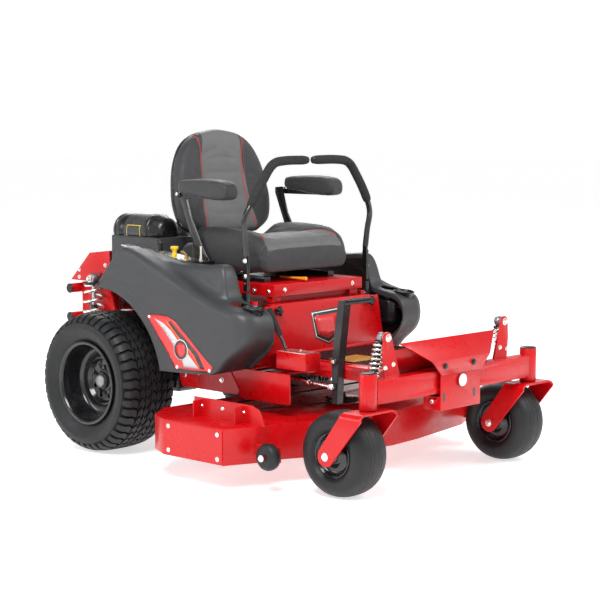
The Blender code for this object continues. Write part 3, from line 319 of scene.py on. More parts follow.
class Shape:
    """A mesh being built in the machine's frame. Each call adds to it, painted with the current material."""

    def __init__(self, *paints):
        self.bm = bmesh.new()
        self.paints = list(paints)
        self.index = 0

    def paint(self, name):
        if name not in self.paints:
            self.paints.append(name)
        self.index = self.paints.index(name)
        return self

    def face(self, corners):
        made = self.bm.faces.new(corners)
        made.material_index = self.index
        return made

    def grid(self, rows, round_rows=False, round_columns=False, caps=False):
        """Quads between rows of points, each row as long as the next."""
        verts = [[self.bm.verts.new(p) for p in row] for row in rows]
        width = len(verts[0])
        for low, high in zip(verts, verts[1:] + (verts[:1] if round_rows else [])):
            for k in range(width if round_columns else width - 1):
                j = (k + 1) % width
                self.face((low[k], low[j], high[j], high[k]))
        if caps:
            self.face(verts[0])
            self.face(verts[-1])
        return self

    def prism(self, outline, axis, low, high):
        """A flat outline extruded along an axis. Points are (y, z) for x, (x, z) for y and (x, y) for z."""
        place = {
            "x": lambda p, d: (d, p[0], p[1]),
            "y": lambda p, d: (p[0], d, p[1]),
            "z": lambda p, d: (p[0], p[1], d),
        }[axis]
        return self.grid([[place(p, d) for p in outline] for d in (low, high)], round_columns=True, caps=True)

    def box(self, x0, x1, y0, y1, z0, z1):
        return self.prism([(x0, y0), (x1, y0), (x1, y1), (x0, y1)], "z", z0, z1)

    def turned(self, profile, place, axis=Z_AXIS, sides=32, closed=False, caps=True):
        """A profile of (along, radius) points turned about an axis through place."""
        ahead = Vector(axis).normalized()
        across = ahead.orthogonal().normalized()
        other = ahead.cross(across)
        spokes = [across * math.cos(a) + other * math.sin(a) for a in round_angles(sides)]
        rows = [[Vector(place) + ahead * along + radius * spoke for spoke in spokes] for along,
                radius in profile]
        return self.grid(rows, round_rows=closed, round_columns=True, caps=caps and not closed)

    def rod(self, start, end, radius, sides=20):
        """A round bar with chamfered ends."""
        start, end = Vector(start), Vector(end)
        length, edge = (end - start).length, min(radius * 0.25, 0.002)
        profile = [(0.0, radius - edge), (edge, radius), (length - edge, radius), (length, radius - edge)]
        return self.turned(profile, start, end - start, sides)

    def tube(self, points, radius, sides=12, wide=1.0, closed=False):
        """A bar along a list of points, of one radius or one for each point. wide flattens its section."""
        points = [Vector(p) for p in points]
        radii = radius if isinstance(radius, list) else [radius] * len(points)
        rows, across, last = [], None, len(points) - 1
        for i, point in enumerate(points):
            before = points[i - 1 if closed else max(i - 1, 0)]
            after = points[(i + 1) % len(points) if closed else min(i + 1, last)]
            ahead = (after - before).normalized()
            across = ahead.orthogonal() if across is None else across - ahead * across.dot(ahead)
            across = across.normalized()
            other = ahead.cross(across)
            spokes = [across * math.cos(a) * wide + other * math.sin(a) for a in round_angles(sides)]
            rows.append([point + radii[i] * spoke for spoke in spokes])
        return self.grid(rows, round_rows=closed, round_columns=True, caps=not closed)

    def coil(self, bottom, top, radius_at, wire, turns):
        """A compression spring whose end coils lie flat, and whose radius follows its height's share."""
        flat_ends = 0.75
        ahead = (top - bottom).normalized()
        across = ahead.orthogonal().normalized()
        other = ahead.cross(across)
        points, steps = [], int(turns * 18)
        for i in range(steps + 1):
            turn = turns * i / steps
            climb = min(max(turn - flat_ends, 0.0), turns - 2 * flat_ends) / (turns - 2 * flat_ends)
            share = 0.05 * min(turn, flat_ends) / flat_ends + 0.9 * climb
            share += 0.05 * max(turn - (turns - flat_ends), 0.0) / flat_ends
            angle = 2 * math.pi * turn
            spoke = across * math.cos(angle) + other * math.sin(angle)
            points.append(bottom.lerp(top, share) + radius_at(share) * spoke)
        return self.tube(points, wire, 8)

    def bolt(self, place, axis, size=0.008, washer=True):
        """A flanged hex head of that across-corner radius, standing on place and facing along the axis."""
        if washer:
            self.turned([(0.0, size * 1.35), (size * 0.18, size * 1.35), (size * 0.26, size * 1.1)], place,
                        axis, 20)
        head = [(0.0, size), (size * 0.72, size), (size * 0.86, size * 0.84), (size * 0.86, size * 0.3)]
        return self.turned(head, place, axis, 6)

    def made(self, name, body, slot=None, sharp=35.0):
        """The finished mesh as an object in the row frame, which rides on a body if one is named."""
        bmesh.ops.transform(self.bm, matrix=TO_ROW, verts=self.bm.verts)
        bmesh.ops.recalc_face_normals(self.bm, faces=self.bm.faces)
        mesh = bpy.data.meshes.new(name)
        self.bm.to_mesh(mesh)
        self.bm.free()
        for paint in self.paints:
            mesh.materials.append(MATERIALS[paint])
        mesh.shade_smooth()
        mesh.set_sharp_from_angle(angle=math.radians(sharp))
        obj = bpy.data.objects.new(name, mesh)
        bpy.context.scene.collection.objects.link(obj)
        if body:
            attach(obj, body)
        return obj


def modifier(obj, kind, **settings):
    made = obj.modifiers.new(kind.lower(), kind)
    for name, value in settings.items():
        setattr(made, name, value)
    return obj


def bevel(obj, width, segments=2, angle=32.0):
    return modifier(obj, "BEVEL", width=width, segments=segments, limit_method="ANGLE",
                    angle_limit=math.radians(angle), harden_normals=True, use_clamp_overlap=True)


def subdivide(obj, levels=2):
    return modifier(obj, "SUBSURF", levels=levels, render_levels=levels)


def applied(obj):
    """The object with its modifiers worked into its mesh."""
    bpy.context.view_layer.update()
    graph = bpy.context.evaluated_depsgraph_get()
    mesh = bpy.data.meshes.new_from_object(obj.evaluated_get(graph), depsgraph=graph)
    obj.modifiers.clear()
    obj.data = mesh
    return obj


def rounded_outline(corners, radius, steps=4):
    """A closed outline whose corners are rounded."""
    made, count = [], len(corners)
    for i, corner in enumerate(corners):
        here = Vector(corner)
        sides = [Vector(corners[(i + d) % count]) - here for d in (-1, 1)]
        cut = min(radius, *(s.length * 0.49 for s in sides))
        start, end = here + sides[0].normalized() * cut, here + sides[1].normalized() * cut
        for k in range(steps + 1):
            t = k / steps
            made.append(tuple(start * (1 - t) ** 2 + here * 2 * t * (1 - t) + end * t**2))
    return made


def smooth_path(points, steps):
    """Catmull-Rom points through a short list of route points."""
    points = [Vector(p) for p in points]
    ends = [2 * points[0] - points[1]] + points + [2 * points[-1] - points[-2]]
    path = []
    for a, b, c, d in zip(ends, ends[1:], ends[2:], ends[3:]):
        for k in range(steps):
            t = k / steps
            bend, twist = 2 * a - 5 * b + 4 * c - d, 3 * b - a - 3 * c + d
            path.append(0.5 * (2 * b + (c - a) * t + bend * t**2 + twist * t**3))
    return path + [points[-1]]


FASTENERS = {}


def fastener(body, place, axis, size=0.008, washer=True):
    """Adds a zinc bolt head to the body's group of fasteners."""
    FASTENERS.setdefault(body, Shape("bright_steel")).bolt(place, axis, size, washer)


# ---------------------------------------------------------------- rear wheels
TREAD_PITCHES = 44
TREAD_DEPTH = 0.009
# beyond this radius the skin between the blocks takes the darker rubber, painted shade in the grooves
GROOVE_FLOOR_FROM = 0.216   # radius beyond which the skin between the blocks is groove floor
TREAD_ENDS, SIDEWALL_FROM, RIM_LINE = 0.118, 0.134, 0.15   # distances from the crown line
HALF_TYRE = [
    (0.0, 0.254), (0.03, 0.2536), (0.06, 0.2518), (0.085, 0.2478), (0.104, 0.2395), (0.116, 0.227),
    (0.1222, 0.212), (0.1228, 0.196), (0.1195, 0.18), (0.112, 0.164), (0.103, 0.15), (0.0985, 0.1425),
]


class TyreSkin:
    """The tyre's outer line, walked from the crown towards the bead, on both halves."""

    def __init__(self, place, side):
        self.place = place
        self.side = side
        self.line = smooth_path([(u, r, 0.0) for u, r in HALF_TYRE], 8)
        self.walked = [0.0]
        for before, after in zip(self.line, self.line[1:]):
            self.walked.append(self.walked[-1] + (after - before).length)

    def at(self, distance, angle, lift=0.0):
        """The point that far from the crown line (negative on the inner half), raised by lift."""
        away, sign = abs(distance), 1.0 if distance >= 0 else -1.0
        i = max(k for k, walked in enumerate(self.walked[:-1]) if walked <= away)
        share = (away - self.walked[i]) / (self.walked[i + 1] - self.walked[i])
        ahead = (self.line[i + 1] - self.line[i]).normalized()
        point = self.line[i].lerp(self.line[i + 1], min(share, 1.0)) + Vector((-ahead.y, ahead.x, 0.0)) * lift
        across, radius = sign * point.x, point.y
        spoke = Vector((0.0, math.cos(angle), math.sin(angle)))
        return self.place + Vector((self.side * across, 0.0, 0.0)) + radius * spoke


def tread_block(shape, skin, middle, rows, skew=0.0):
    """A raised block. Its rows are (distance from the crown, shift, half length, sink), in tread pitches."""
    pitch = 2 * math.pi / TREAD_PITCHES
    made = []
    for distance, shift, half, sink in rows:
        low, high = middle + (shift - half) * pitch, middle + (shift + half) * pitch
        spread = 0.06 * pitch
        made.append([
            skin.at(distance - skew, low - spread, -TREAD_DEPTH),
            skin.at(distance - skew, low, -sink),
            skin.at(distance, (low + high) / 2, -sink),
            skin.at(distance + skew, high, -sink),
            skin.at(distance + skew, high + spread, -TREAD_DEPTH),
        ])
    shape.grid(made, round_columns=True, caps=True)


def rear_tyre(name, side):
    place = Vector((side * REAR_WHEEL[0], *REAR_WHEEL[1:]))
    skin = TyreSkin(place, side)
    shape = Shape("tyre_rubber", "groove_painted_shade")
    angles = round_angles(TREAD_PITCHES * 3)
    rows = []
    stations = [0.16 * k / 30 for k in range(31)]
    for sign in (-1, 1):
        half = []
        for distance in stations if sign > 0 else reversed(stations[1:]):
            fade = min(max((distance - TREAD_ENDS) / (SIDEWALL_FROM - TREAD_ENDS), 0.0), 1.0)
            past_line = distance - RIM_LINE
            ring = 0.0012 * max(0.0, math.cos(past_line / 0.004)) if abs(past_line) < 0.006 else 0.0
            lift = -TREAD_DEPTH * (1.0 - fade) + ring
            half.append([skin.at(sign * distance if distance else 0.0, a, lift) for a in angles])
        rows += half
    bead = [(-0.092, 0.145), (-0.08, 0.144), (0.08, 0.144), (0.092, 0.145)]
    rows += [[place + Vector((side * -u, r * math.cos(a), r * math.sin(a))) for a in angles] for u, r in bead]
    shape.grid(rows, round_rows=True, round_columns=True)
    # painted shade: the skin between the tread blocks takes the darker groove rubber
    for face in shape.bm.faces:
        middle = face.calc_center_median() - place
        if math.hypot(middle.y, middle.z) > GROOVE_FLOOR_FROM:
            face.material_index = 1
    for k in range(TREAD_PITCHES):
        middle = 2 * math.pi * k / TREAD_PITCHES
        tread_block(shape, skin, middle,
                    [(-0.011, 0.22, 0.34, 0), (0.0, -0.22, 0.36, 0), (0.011, 0.22, 0.34, 0)])
        for sign in (-1, 1):
            shifted = middle + (0.5 if sign > 0 else 0.0) * 2 * math.pi / TREAD_PITCHES
            for low, high, turn in ((0.0165, 0.0355, -1), (0.0415, 0.062, 1)):
                rib = [(low, 0.2), ((low + high) / 2, -0.2), (high, 0.2)]
                rows = [(sign * at, turn * shift, 0.355, 0.0) for at, shift in rib]
                tread_block(shape, skin, shifted + turn * 0.3 / TREAD_PITCHES, rows, 0.0022)
            reach = 0.134 if k % 2 else 0.127
            lug = [(0.0675, 0.14, 0.34, 0.0), (0.081, -0.08, 0.36, 0.0), (0.096, 0.0, 0.35, 0.0),
                   (0.108, 0.0, 0.34, 0.0), (reach - 0.01, 0.0, 0.32, 0.0005),
                   (reach - 0.003, 0.0, 0.27, 0.0015), (reach, 0.0, 0.16, 0.004)]
            tread_block(shape, skin, shifted,
                        [(sign * at, shift, half, sink) for at, shift, half, sink in lug])
    tyre = shape.made(f"turf_tyre_{name}", f"rear_wheel_{name}", sharp=28.0)
    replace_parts(tyre, f"rear_tyre_{name}")


STUD_SHIFT = 1.5 / (2 * math.pi)   # the wheel studs' turn, as a share of the step between two


def rear_rim(name, side):
    place = Vector((side * REAR_WHEEL[0], *REAR_WHEEL[1:]))
    axis = Vector((side, 0.0, 0.0))
    lip = [(0.0985, 0.147), (0.103, 0.1505), (0.1075, 0.1495), (0.109, 0.1455), (0.1065, 0.141)]
    dish = [(0.096, 0.1375), (0.07, 0.1335), (0.033, 0.13), (0.023, 0.125), (0.0195, 0.112), (0.0195, 0.096)]
    step = [(0.0235, 0.09), (0.0275, 0.087), (0.0275, 0.0835), (0.021, 0.079), (0.015, 0.074), (0.015, 0.03)]
    disc = Shape("black_steel").turned(lip + dish + step, place, axis, 96, caps=False)
    disc = disc.made(f"rim_disc_{name}", f"rear_wheel_{name}", sharp=50.0)
    modifier(disc, "SOLIDIFY", thickness=0.003, offset=0.0)
    cutter = Shape("black_steel")
    for angle in round_angles(8, 0.5):
        spoke = Vector((0.0, math.cos(angle), math.sin(angle))) * 0.06
        cutter.turned([(-0.02, 0.0085), (0.05, 0.0085)], place + spoke, axis, 20)
    cutter = cutter.made(f"rim_cutter_{name}", f"rear_wheel_{name}")
    modifier(disc, "BOOLEAN", operation="DIFFERENCE", object=cutter)
    applied(disc)
    bpy.data.objects.remove(cutter)
    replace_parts(disc, f"rear_rim_{name}")

    barrel = Shape("black_steel")
    inner = [(0.023, 0.129), (-0.08, 0.133), (-0.1, 0.1385), (-0.1065, 0.143), (-0.1075, 0.1495),
             (-0.101, 0.149)]
    barrel.turned(inner, place, axis, 72, caps=False)
    barrel = barrel.made(f"rim_barrel_{name}", f"rear_wheel_{name}", sharp=50.0)
    modifier(barrel, "SOLIDIFY", thickness=0.003, offset=0.0)

    hub = Shape("black_steel")
    flange = [(-0.06, 0.04), (0.012, 0.04), (0.0195, 0.0375), (0.0205, 0.032), (0.023, 0.03), (0.03, 0.0285)]
    hub.turned(flange, place, axis, 48)
    hub.paint("grey_casting").turned([(0.03, 0.025), (0.038, 0.0245), (0.043, 0.0215), (0.0455, 0.015),
                                      (0.0465, 0.002)], place, axis, 40)
    hub.paint("black_steel")
    for angle in round_angles(5, STUD_SHIFT):
        spoke = Vector((0.0, math.cos(angle), math.sin(angle))) * 0.048
        hub.turned([(0.015, 0.009), (0.0185, 0.0082)], place + spoke, axis, 20)
        hub.bolt(place + spoke + axis * 0.0175, axis, 0.0075, washer=False)
    hub.paint("rubber_valve").turned([(0.0, 0.0042), (0.01, 0.0042), (0.012, 0.003), (0.026, 0.0028),
                                      (0.027, 0.0018)], place + Vector((side * 0.03, 0.0, 0.124)),
                                     axis + Vector((0, 0, -0.5)), 12)
    hub.made(f"hub_{name}", f"rear_wheel_{name}", sharp=40.0)


# ---------------------------------------------------------------- casters
def caster_wheel(name, side):
    place = Vector((side * CASTER_WHEEL[0], *CASTER_WHEEL[1:]))
    axis = Vector((side, 0.0, 0.0))
    crown = [(0.0115, 0.1398), (0.0124, 0.1388), (0.0133, 0.1397), (0.025, 0.1386), (0.026, 0.1375),
             (0.027, 0.1383)]
    shoulder = [(0.04, 0.1356), (0.052, 0.1312), (0.063, 0.1236), (0.07, 0.113), (0.0726, 0.101),
                (0.0705, 0.089)]
    bead = [(0.0655, 0.0822), (0.064, 0.0815), (0.0628, 0.08), (0.0575, 0.075), (0.052, 0.0712),
            (0.04, 0.0712)]
    half = [(0.0, 0.14)] + crown + shoulder + bead
    profile = [(-u, r) for u, r in reversed(half[1:])] + half
    tyre = Shape("tyre_rubber").turned(profile, place, axis, 96, closed=True)
    tyre = tyre.made(f"smooth_tyre_{name}", f"caster_wheel_{name}", sharp=35.0)
    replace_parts(tyre, f"caster_tyre_{name}")

    rim = Shape("black_steel")
    web = [(0.056, 0.0725), (0.06, 0.074), (0.0612, 0.0715), (0.059, 0.068), (0.05, 0.064), (0.043, 0.06),
           (0.04, 0.052), (0.042, 0.042), (0.048, 0.033), (0.053, 0.03), (0.056, 0.025)]
    for sign in (-1, 1):
        rim.paint("black_steel").turned(web + [(0.0, 0.025), (0.0, 0.0725)], place, axis * sign, 64,
                                        closed=True)
        rim.paint("grey_casting").turned([(0.052, 0.0225), (0.06, 0.022), (0.066, 0.018), (0.068, 0.014),
                                          (0.068, 0.01)], place, axis * sign, 32)
    rim.paint("black_plastic").turned([(0.0, 0.0035), (0.016, 0.0035), (0.018, 0.002)],
                                      place + Vector((side * 0.05, 0.03, 0.048)), axis, 10)
    rim = rim.made(f"caster_hub_{name}", f"caster_wheel_{name}", sharp=40.0)
    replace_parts(rim, f"caster_rim_{name}")


FORK_FRONT, FORK_REAR = -1.309, -1.214
FOOT_RADIUS = 0.033


def caster_fork(name, side):
    """A thick strap bent over the wheel: round feet, slanted legs and a flat top under the pivot tube."""
    half, bend = 0.0878, 0.02
    x, (y, z) = side * CASTER_WHEEL[0], CASTER_WHEEL[1:]
    down = math.radians(305)
    edges = []
    for spread in (12, 32, 52, 72, 90):
        pair = [down - math.radians(spread), down + math.radians(spread)]
        edges.append([Vector((y + FOOT_RADIUS * math.cos(a), z + FOOT_RADIUS * math.sin(a))) for a in pair])
    foot, tops = edges[-1], (Vector((FORK_FRONT, 0.268)), Vector((FORK_REAR, 0.266)))
    for share in (0.25, 0.5, 0.75, 1.0):
        edges.append([a.lerp(b, share) for a, b in zip(foot, tops)])
    rows = [[(half, front), (half, rear)] for front, rear in edges]
    for degrees in (30, 60, 90):
        a = math.radians(degrees)
        out, height = half - bend * (1 - math.cos(a)), 0.2655 + bend * math.sin(a)
        rows.append([(out, Vector((FORK_FRONT + 0.003 * a, height))),
                     (out, Vector((FORK_REAR - 0.006 * a, height)))])
    rows += [[(-u, end) for u, end in row] for row in reversed(rows)]
    grid = []
    for (u, front), (_, rear) in rows:
        line = [front.lerp(rear, share) for share in (0.0, 0.25, 0.5, 0.75, 1.0)]
        grid.append([(x + u, point.x, point.y) for point in line])
    shape = Shape("red_paint").grid(grid)
    fork = shape.made(f"bent_fork_{name}", f"caster_{name}", sharp=40.0)
    modifier(fork, "SOLIDIFY", thickness=0.0075, offset=0.0)
    bevel(fork, 0.0014, 2)
    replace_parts(fork, f"caster_fork_{name}")

    trim = Shape("black_plastic")
    pivot = (x, CASTER_PIVOT_Y, 0.2868)
    trim.turned([(0.002, 0.027), (0.004, 0.0275), (0.005, 0.024), (0.006, 0.013)], pivot, Z_AXIS, 32)
    trim.paint("grey_casting").turned([(-0.005, 0.0115), (0.001, 0.0115)], pivot, Z_AXIS, 24)
    cap = Shape("black_plastic").turned([(0.4066, 0.023), (0.4066, 0.0286), (0.409, 0.0286), (0.411, 0.025),
                                         (0.4116, 0.002)], (x, CASTER_PIVOT_Y, 0.0), Z_AXIS, 36)
    cap.made(f"pivot_cap_{name}", "front_axle", sharp=40.0)
    trim.paint("bright_steel").rod((x - 0.07, y, z), (x + 0.07, y, z), 0.009)
    for sign in (-1, 1):
        trim.bolt((x + sign * 0.0915, y, z), X_AXIS * sign, 0.01)
        trim.paint("grey_casting").turned([(0.069, 0.013), (0.0838, 0.013)], (x, y, z), X_AXIS * sign, 24)
        trim.paint("bright_steel")
    trim.made(f"caster_axle_{name}", f"caster_{name}", slot="bright_steel", sharp=40.0)


# ---------------------------------------------------------------- springs and dampers
def front_shock(name, side):
    top, foot = Vector((side * 0.311, -1.215, 0.508)), Vector((side * 0.3345, -1.208, 0.396))
    ahead = (top - foot).normalized()
    coil = Shape("bright_steel").coil(foot - ahead * 0.034, top - ahead * 0.022, lambda share: 0.019, 0.0037,
                                      9.0)
    coil = coil.made(f"coil_front_{name}", None, sharp=60.0)
    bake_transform(coil)
    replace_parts(coil, f"front_spring_{name}")
    body = Shape("black_steel")
    sleeve = [(0.0, 0.011), (0.004, 0.012), (0.06, 0.012), (0.064, 0.008), (0.09, 0.008)]
    body.turned(sleeve, foot, ahead, 28)
    body.turned([(0.09, 0.0185), (0.093, 0.019), (0.096, 0.0175), (0.1, 0.011)], foot, ahead, 28)
    body.paint("grey_casting").turned([(-0.009, 0.0075), (-0.009, 0.015), (-0.007, 0.0165), (0.007, 0.0165),
                                       (0.009, 0.015), (0.009, 0.0075)], (side * 0.309, -1.218, 0.508),
                                      Y_AXIS, 28, closed=True)
    body.paint("white_label").turned([(-0.01, 0.007), (-0.01, 0.011), (0.01, 0.011), (0.01, 0.007)],
                                     (side * 0.309, -1.218, 0.508), Y_AXIS, 24, closed=True)
    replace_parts(body.made(f"damper_front_{name}", "front_axle", sharp=40.0), f"front_damper_{name}")
    cup = Shape("black_steel")
    cup.turned([(-0.044, 0.021), (-0.036, 0.023), (-0.034, 0.023), (-0.033, 0.012)], foot, ahead, 28)
    cup.paint("brushed_rod").rod(foot - ahead * 0.04, foot + ahead * 0.03, 0.006)
    cup.made(f"spring_seat_front_{name}", "chassis", sharp=40.0)


def rear_shock(name, side):
    place = Vector((side * 0.262, 0.278, 0.0))
    foot, top = place + Z_AXIS * 0.405, place + Z_AXIS * 0.576

    def barrel(share):
        return 0.0315 + 0.0065 * math.sin(math.pi * min(share * 1.1, 1.0))
    coil = Shape("bright_steel").coil(foot, top, barrel, 0.0054, 5.6)
    coil = coil.made(f"coil_rear_{name}", None, sharp=60.0)
    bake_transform(coil)
    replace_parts(coil, f"rear_spring_{name}")
    tube = Shape("black_steel")
    tube.turned([(0.415, 0.012), (0.418, 0.015), (0.495, 0.015), (0.498, 0.012)], place, Z_AXIS, 32)
    tube.turned([(0.398, 0.018), (0.401, 0.035), (0.4035, 0.036), (0.405, 0.02)], place, Z_AXIS, 36)
    tube.made(f"damper_tube_{name}", "rear_axle", sharp=40.0)
    body = Shape("black_steel", "brushed_rod")
    body.paint("brushed_rod").turned([(0.45, 0.0075), (0.585, 0.0075)], place, Z_AXIS, 20)
    body.paint("black_steel")
    body.turned([(0.574, 0.036), (0.577, 0.037), (0.58, 0.034), (0.583, 0.018)], place, Z_AXIS, 36)
    body.paint("grey_casting").turned([(-0.014, 0.0085), (-0.014, 0.018), (-0.012, 0.0195), (0.012, 0.0195),
                                       (0.014, 0.018), (0.014, 0.0085)], place + Z_AXIS * 0.597, X_AXIS, 28,
                                      closed=True)
    body.paint("white_label").turned([(-0.015, 0.008), (-0.015, 0.0135), (0.015, 0.0135), (0.015, 0.008)],
                                     place + Z_AXIS * 0.597, X_AXIS, 24, closed=True)
    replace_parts(body.made(f"damper_rear_{name}", "chassis", sharp=40.0), f"rear_damper_{name}")
    fastener("chassis", place + Vector((side * 0.023, 0.0, 0.597)), X_AXIS * side, 0.0095)


# ---------------------------------------------------------------- bodywork
FENDER_INNER, FENDER_OUTER, PANEL_OUTER = 0.336, 0.48, 0.4762
ARCH_RADIUS, LIP_BAND = 0.345, 0.036
# crease (y, z), degrees round the arch, the hip's rise above the crease, and the edge's rounding
FENDER_STATIONS = [(0.004, 0.606, 89.6, 0.0, 0.004), (-0.02, 0.642, 92.5, 0.0, 0.012),
                   (-0.075, 0.704, 97.5, -0.004, 0.018), (-0.116, 0.745, 102.0, -0.008, 0.018),
                   (-0.142, 0.757, 105.0, -0.019, 0.018), (-0.2, 0.741, 110.0, -0.018, 0.02),
                   (-0.27, 0.714, 116.0, -0.003, 0.022), (-0.345, 0.684, 122.0, 0.017, 0.022),
                   (-0.43, 0.648, 130.0, 0.048, 0.022), (-0.5, 0.618, 136.0, 0.081, 0.022),
                   (-0.545, 0.602, 141.0, 0.104, 0.024), (-0.572, 0.593, 144.0, 0.106, 0.024),
                   (-0.588, 0.588, 146.0, 0.07, 0.026), (-0.6, 0.585, 148.0, 0.014, 0.028),
                   (-0.622, 0.58, 150.0, 0.0, 0.03), (-0.672, 0.571, 152.5, 0.0, 0.036),
                   (-0.715, 0.566, 155.0, 0.0, 0.042), (-0.746, 0.553, 157.0, 0.0, 0.048),
                   (-0.763, 0.52, 158.5, 0.0, 0.052), (-0.765, 0.48, 160.0, 0.0, 0.052),
                   (-0.752, 0.447, 161.5, 0.0, 0.046), (-0.72, 0.415, 163.0, 0.0, 0.036),
                   (-0.668, 0.384, 164.5, 0.0, 0.024), (-0.634, 0.347, 165.8, 0.0, 0.014),
                   (-0.606, 0.338, 166.4, 0.0, 0.01), (-0.5, 0.333, 167.0, 0.0, 0.008),
                   (-0.41, 0.329, 167.3, 0.0, 0.006), (-0.34, 0.328, 167.6, 0.0, 0.002)]


def fender_section(station):
    """Points (distance out, y, z) from the wheel arch's edge over the panel and hip to the inner edge."""
    y, z, degrees, rise, corner = station
    angle = math.radians(degrees)
    arch = Vector((ARCH_RADIUS * math.cos(angle), REAR_WHEEL[2] + ARCH_RADIUS * math.sin(angle)))
    crease = Vector((y, z))
    span = crease - arch
    band = min(LIP_BAND, span.length * 0.3)
    step = min(LIP_BAND + 0.005, span.length * 0.36)
    corner = min(corner, span.length * 0.45)
    up = span.normalized() if span.length > 1e-4 else Vector((0.0, 1.0))
    belly = 0.004 * min(span.length / 0.25, 1.0)

    def on_side(out, away):
        point = arch + up * away
        return (out, point.x, point.y)

    def on_top(out, lift, drop=0.0):
        point = crease - up * drop
        return (out, point.x, point.y + lift)

    full = span.length
    return [on_side(FENDER_OUTER - 0.022, 0.0012), on_side(FENDER_OUTER - 0.0015, 0.0),
            on_side(FENDER_OUTER, band * 0.15), on_side(FENDER_OUTER, band), on_side(PANEL_OUTER, step),
            on_side(PANEL_OUTER, step + (full - step) * 0.12),
            on_side(PANEL_OUTER + belly * 0.8, step + (full - step) * 0.45),
            on_side(PANEL_OUTER + belly * 0.4, full - corner * 1.5), on_side(PANEL_OUTER, full - corner),
            on_side(PANEL_OUTER - corner * 0.3, full - corner * 0.3), on_top(PANEL_OUTER - corner, 0.0),
            on_top(min(0.424, PANEL_OUTER - corner * 1.25), 0.001 + rise * 0.02),
            on_top(0.41, 0.002 + rise * 0.16), on_top(0.4, 0.002 + rise * 0.8),
            on_top(0.387, 0.002 + rise * 0.985), on_top(0.364, 0.003 + rise * 1.01),
            on_top(0.34, 0.001 + rise), on_top(FENDER_INNER, rise - 0.002),
            on_top(FENDER_INNER + 0.0005, rise - 0.016, 0.004 if rise < 0.01 else 0.0)]


def fender(name, side):
    """A moulded cover: arch lip, outer panel, rounded nose, shelf with a cup recess, and the raised hip."""
    rows = [[(side * out, y, z) for out, y, z in fender_section(station)] for station in FENDER_STATIONS]
    obj = Shape("grey_plastic").grid(rows).made(f"moulded_fender_{name}", "chassis", sharp=180.0)
    subdivide(obj, 3)
    applied(obj)
    modifier(obj, "SOLIDIFY", thickness=0.0035, offset=-1.0 if outward(obj, side) else 1.0)
    place = Vector((side * 0.392, -0.652, 0.0))
    cutter = Shape("grey_plastic").turned([(0.5, 0.034), (0.64, 0.034)], place, Z_AXIS, 40)
    cutter = cutter.made(f"cup_cutter_{name}", "chassis")
    modifier(obj, "BOOLEAN", operation="DIFFERENCE", object=cutter)
    applied(obj)
    bpy.data.objects.remove(cutter)
    obj.data.shade_smooth()
    obj.data.set_sharp_from_angle(angle=math.radians(40))
    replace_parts(obj, f"fender_{name}")
    cup = Shape("black_plastic")
    top = 0.5755
    bowl = [(top - 0.06, 0.02), (top - 0.058, 0.029), (top - 0.004, 0.0335), (top - 0.001, 0.035),
            (top + 0.001, 0.0372), (top - 0.001, 0.039), (top - 0.003, 0.038), (top - 0.006, 0.035),
            (top - 0.062, 0.03), (top - 0.064, 0.02)]
    cup.turned(bowl, place, Z_AXIS + Vector((0, -0.12, 0)), 40, caps=True)
    cup.made(f"cup_holder_{name}", "chassis", sharp=50.0)
    return obj


def outward(obj, side):
    """Whether the sheet's faces point away from the machine's middle."""
    mesh = obj.data
    total = sum(face.normal.x * face.area for face in mesh.polygons)
    return total * side > 0


def in_machine(place):
    """A point of the row frame, in the machine's own frame."""
    return place - Vector((0.0, AXLE_TO_MIDDLE, 0.0))


def laid_on(target, shape_points, direction, lift=0.0007):
    """Points dropped onto a piece along a direction, and raised off it by lift."""
    graph = bpy.context.evaluated_depsgraph_get()
    tree = BVHTree.FromObject(target, graph)
    ahead = Vector(direction).normalized()
    placed = []
    for point in shape_points:
        hit = tree.ray_cast(TO_ROW @ Vector(point), ahead)[0]
        placed.append((in_machine(hit) if hit else Vector(point)) - ahead * lift)
    return placed


def decal(name, body, paint, outline, target, start, direction, lift=0.0007, cell=0.012):
    """A printed film on a piece. start turns the outline's points into places ahead of the piece."""
    bm = bmesh.new()
    bm.faces.new([bm.verts.new((*p, 0.0)) for p in outline])
    for axis in (0, 1):
        low, high = min(p[axis] for p in outline), max(p[axis] for p in outline)
        normal = Vector((1, 0, 0)) if axis == 0 else Vector((0, 1, 0))
        for k in range(1, int((high - low) / cell) + 1):
            parts = bm.verts[:] + bm.edges[:] + bm.faces[:]
            bmesh.ops.bisect_plane(bm, geom=parts, plane_co=normal * (low + k * cell), plane_no=normal)
    verts = list(bm.verts)
    for vert, place in zip(verts, laid_on(target, [start(v.co.x, v.co.y) for v in verts], direction, lift)):
        vert.co = place
    shape = Shape(paint)
    shape.bm.free()
    shape.bm = bm
    made = shape.made(name, body, sharp=60.0)
    modifier(made, "SOLIDIFY", thickness=0.0003, offset=0.0)
    return made


def side_decal(name, body, paint, outline, target, side=-1, lift=0.0007):
    return decal(name, body, paint, outline, target, lambda y, z: (side * 0.6, y, z), (-side, 0, 0), lift)


def inset_outline(outline, distance):
    """A closed outline drawn in by a distance, towards its middle."""
    middle = Vector((sum(p[0] for p in outline), sum(p[1] for p in outline))) / len(outline)
    made = []
    for i, point in enumerate(outline):
        here = Vector(point)
        ahead = (Vector(outline[(i + 1) % len(outline)]) - Vector(outline[i - 1])).normalized()
        across = Vector((-ahead.y, ahead.x))
        across = across if across.dot(middle - here) > 0 else -across
        made.append(tuple(here + across * distance))
    return made


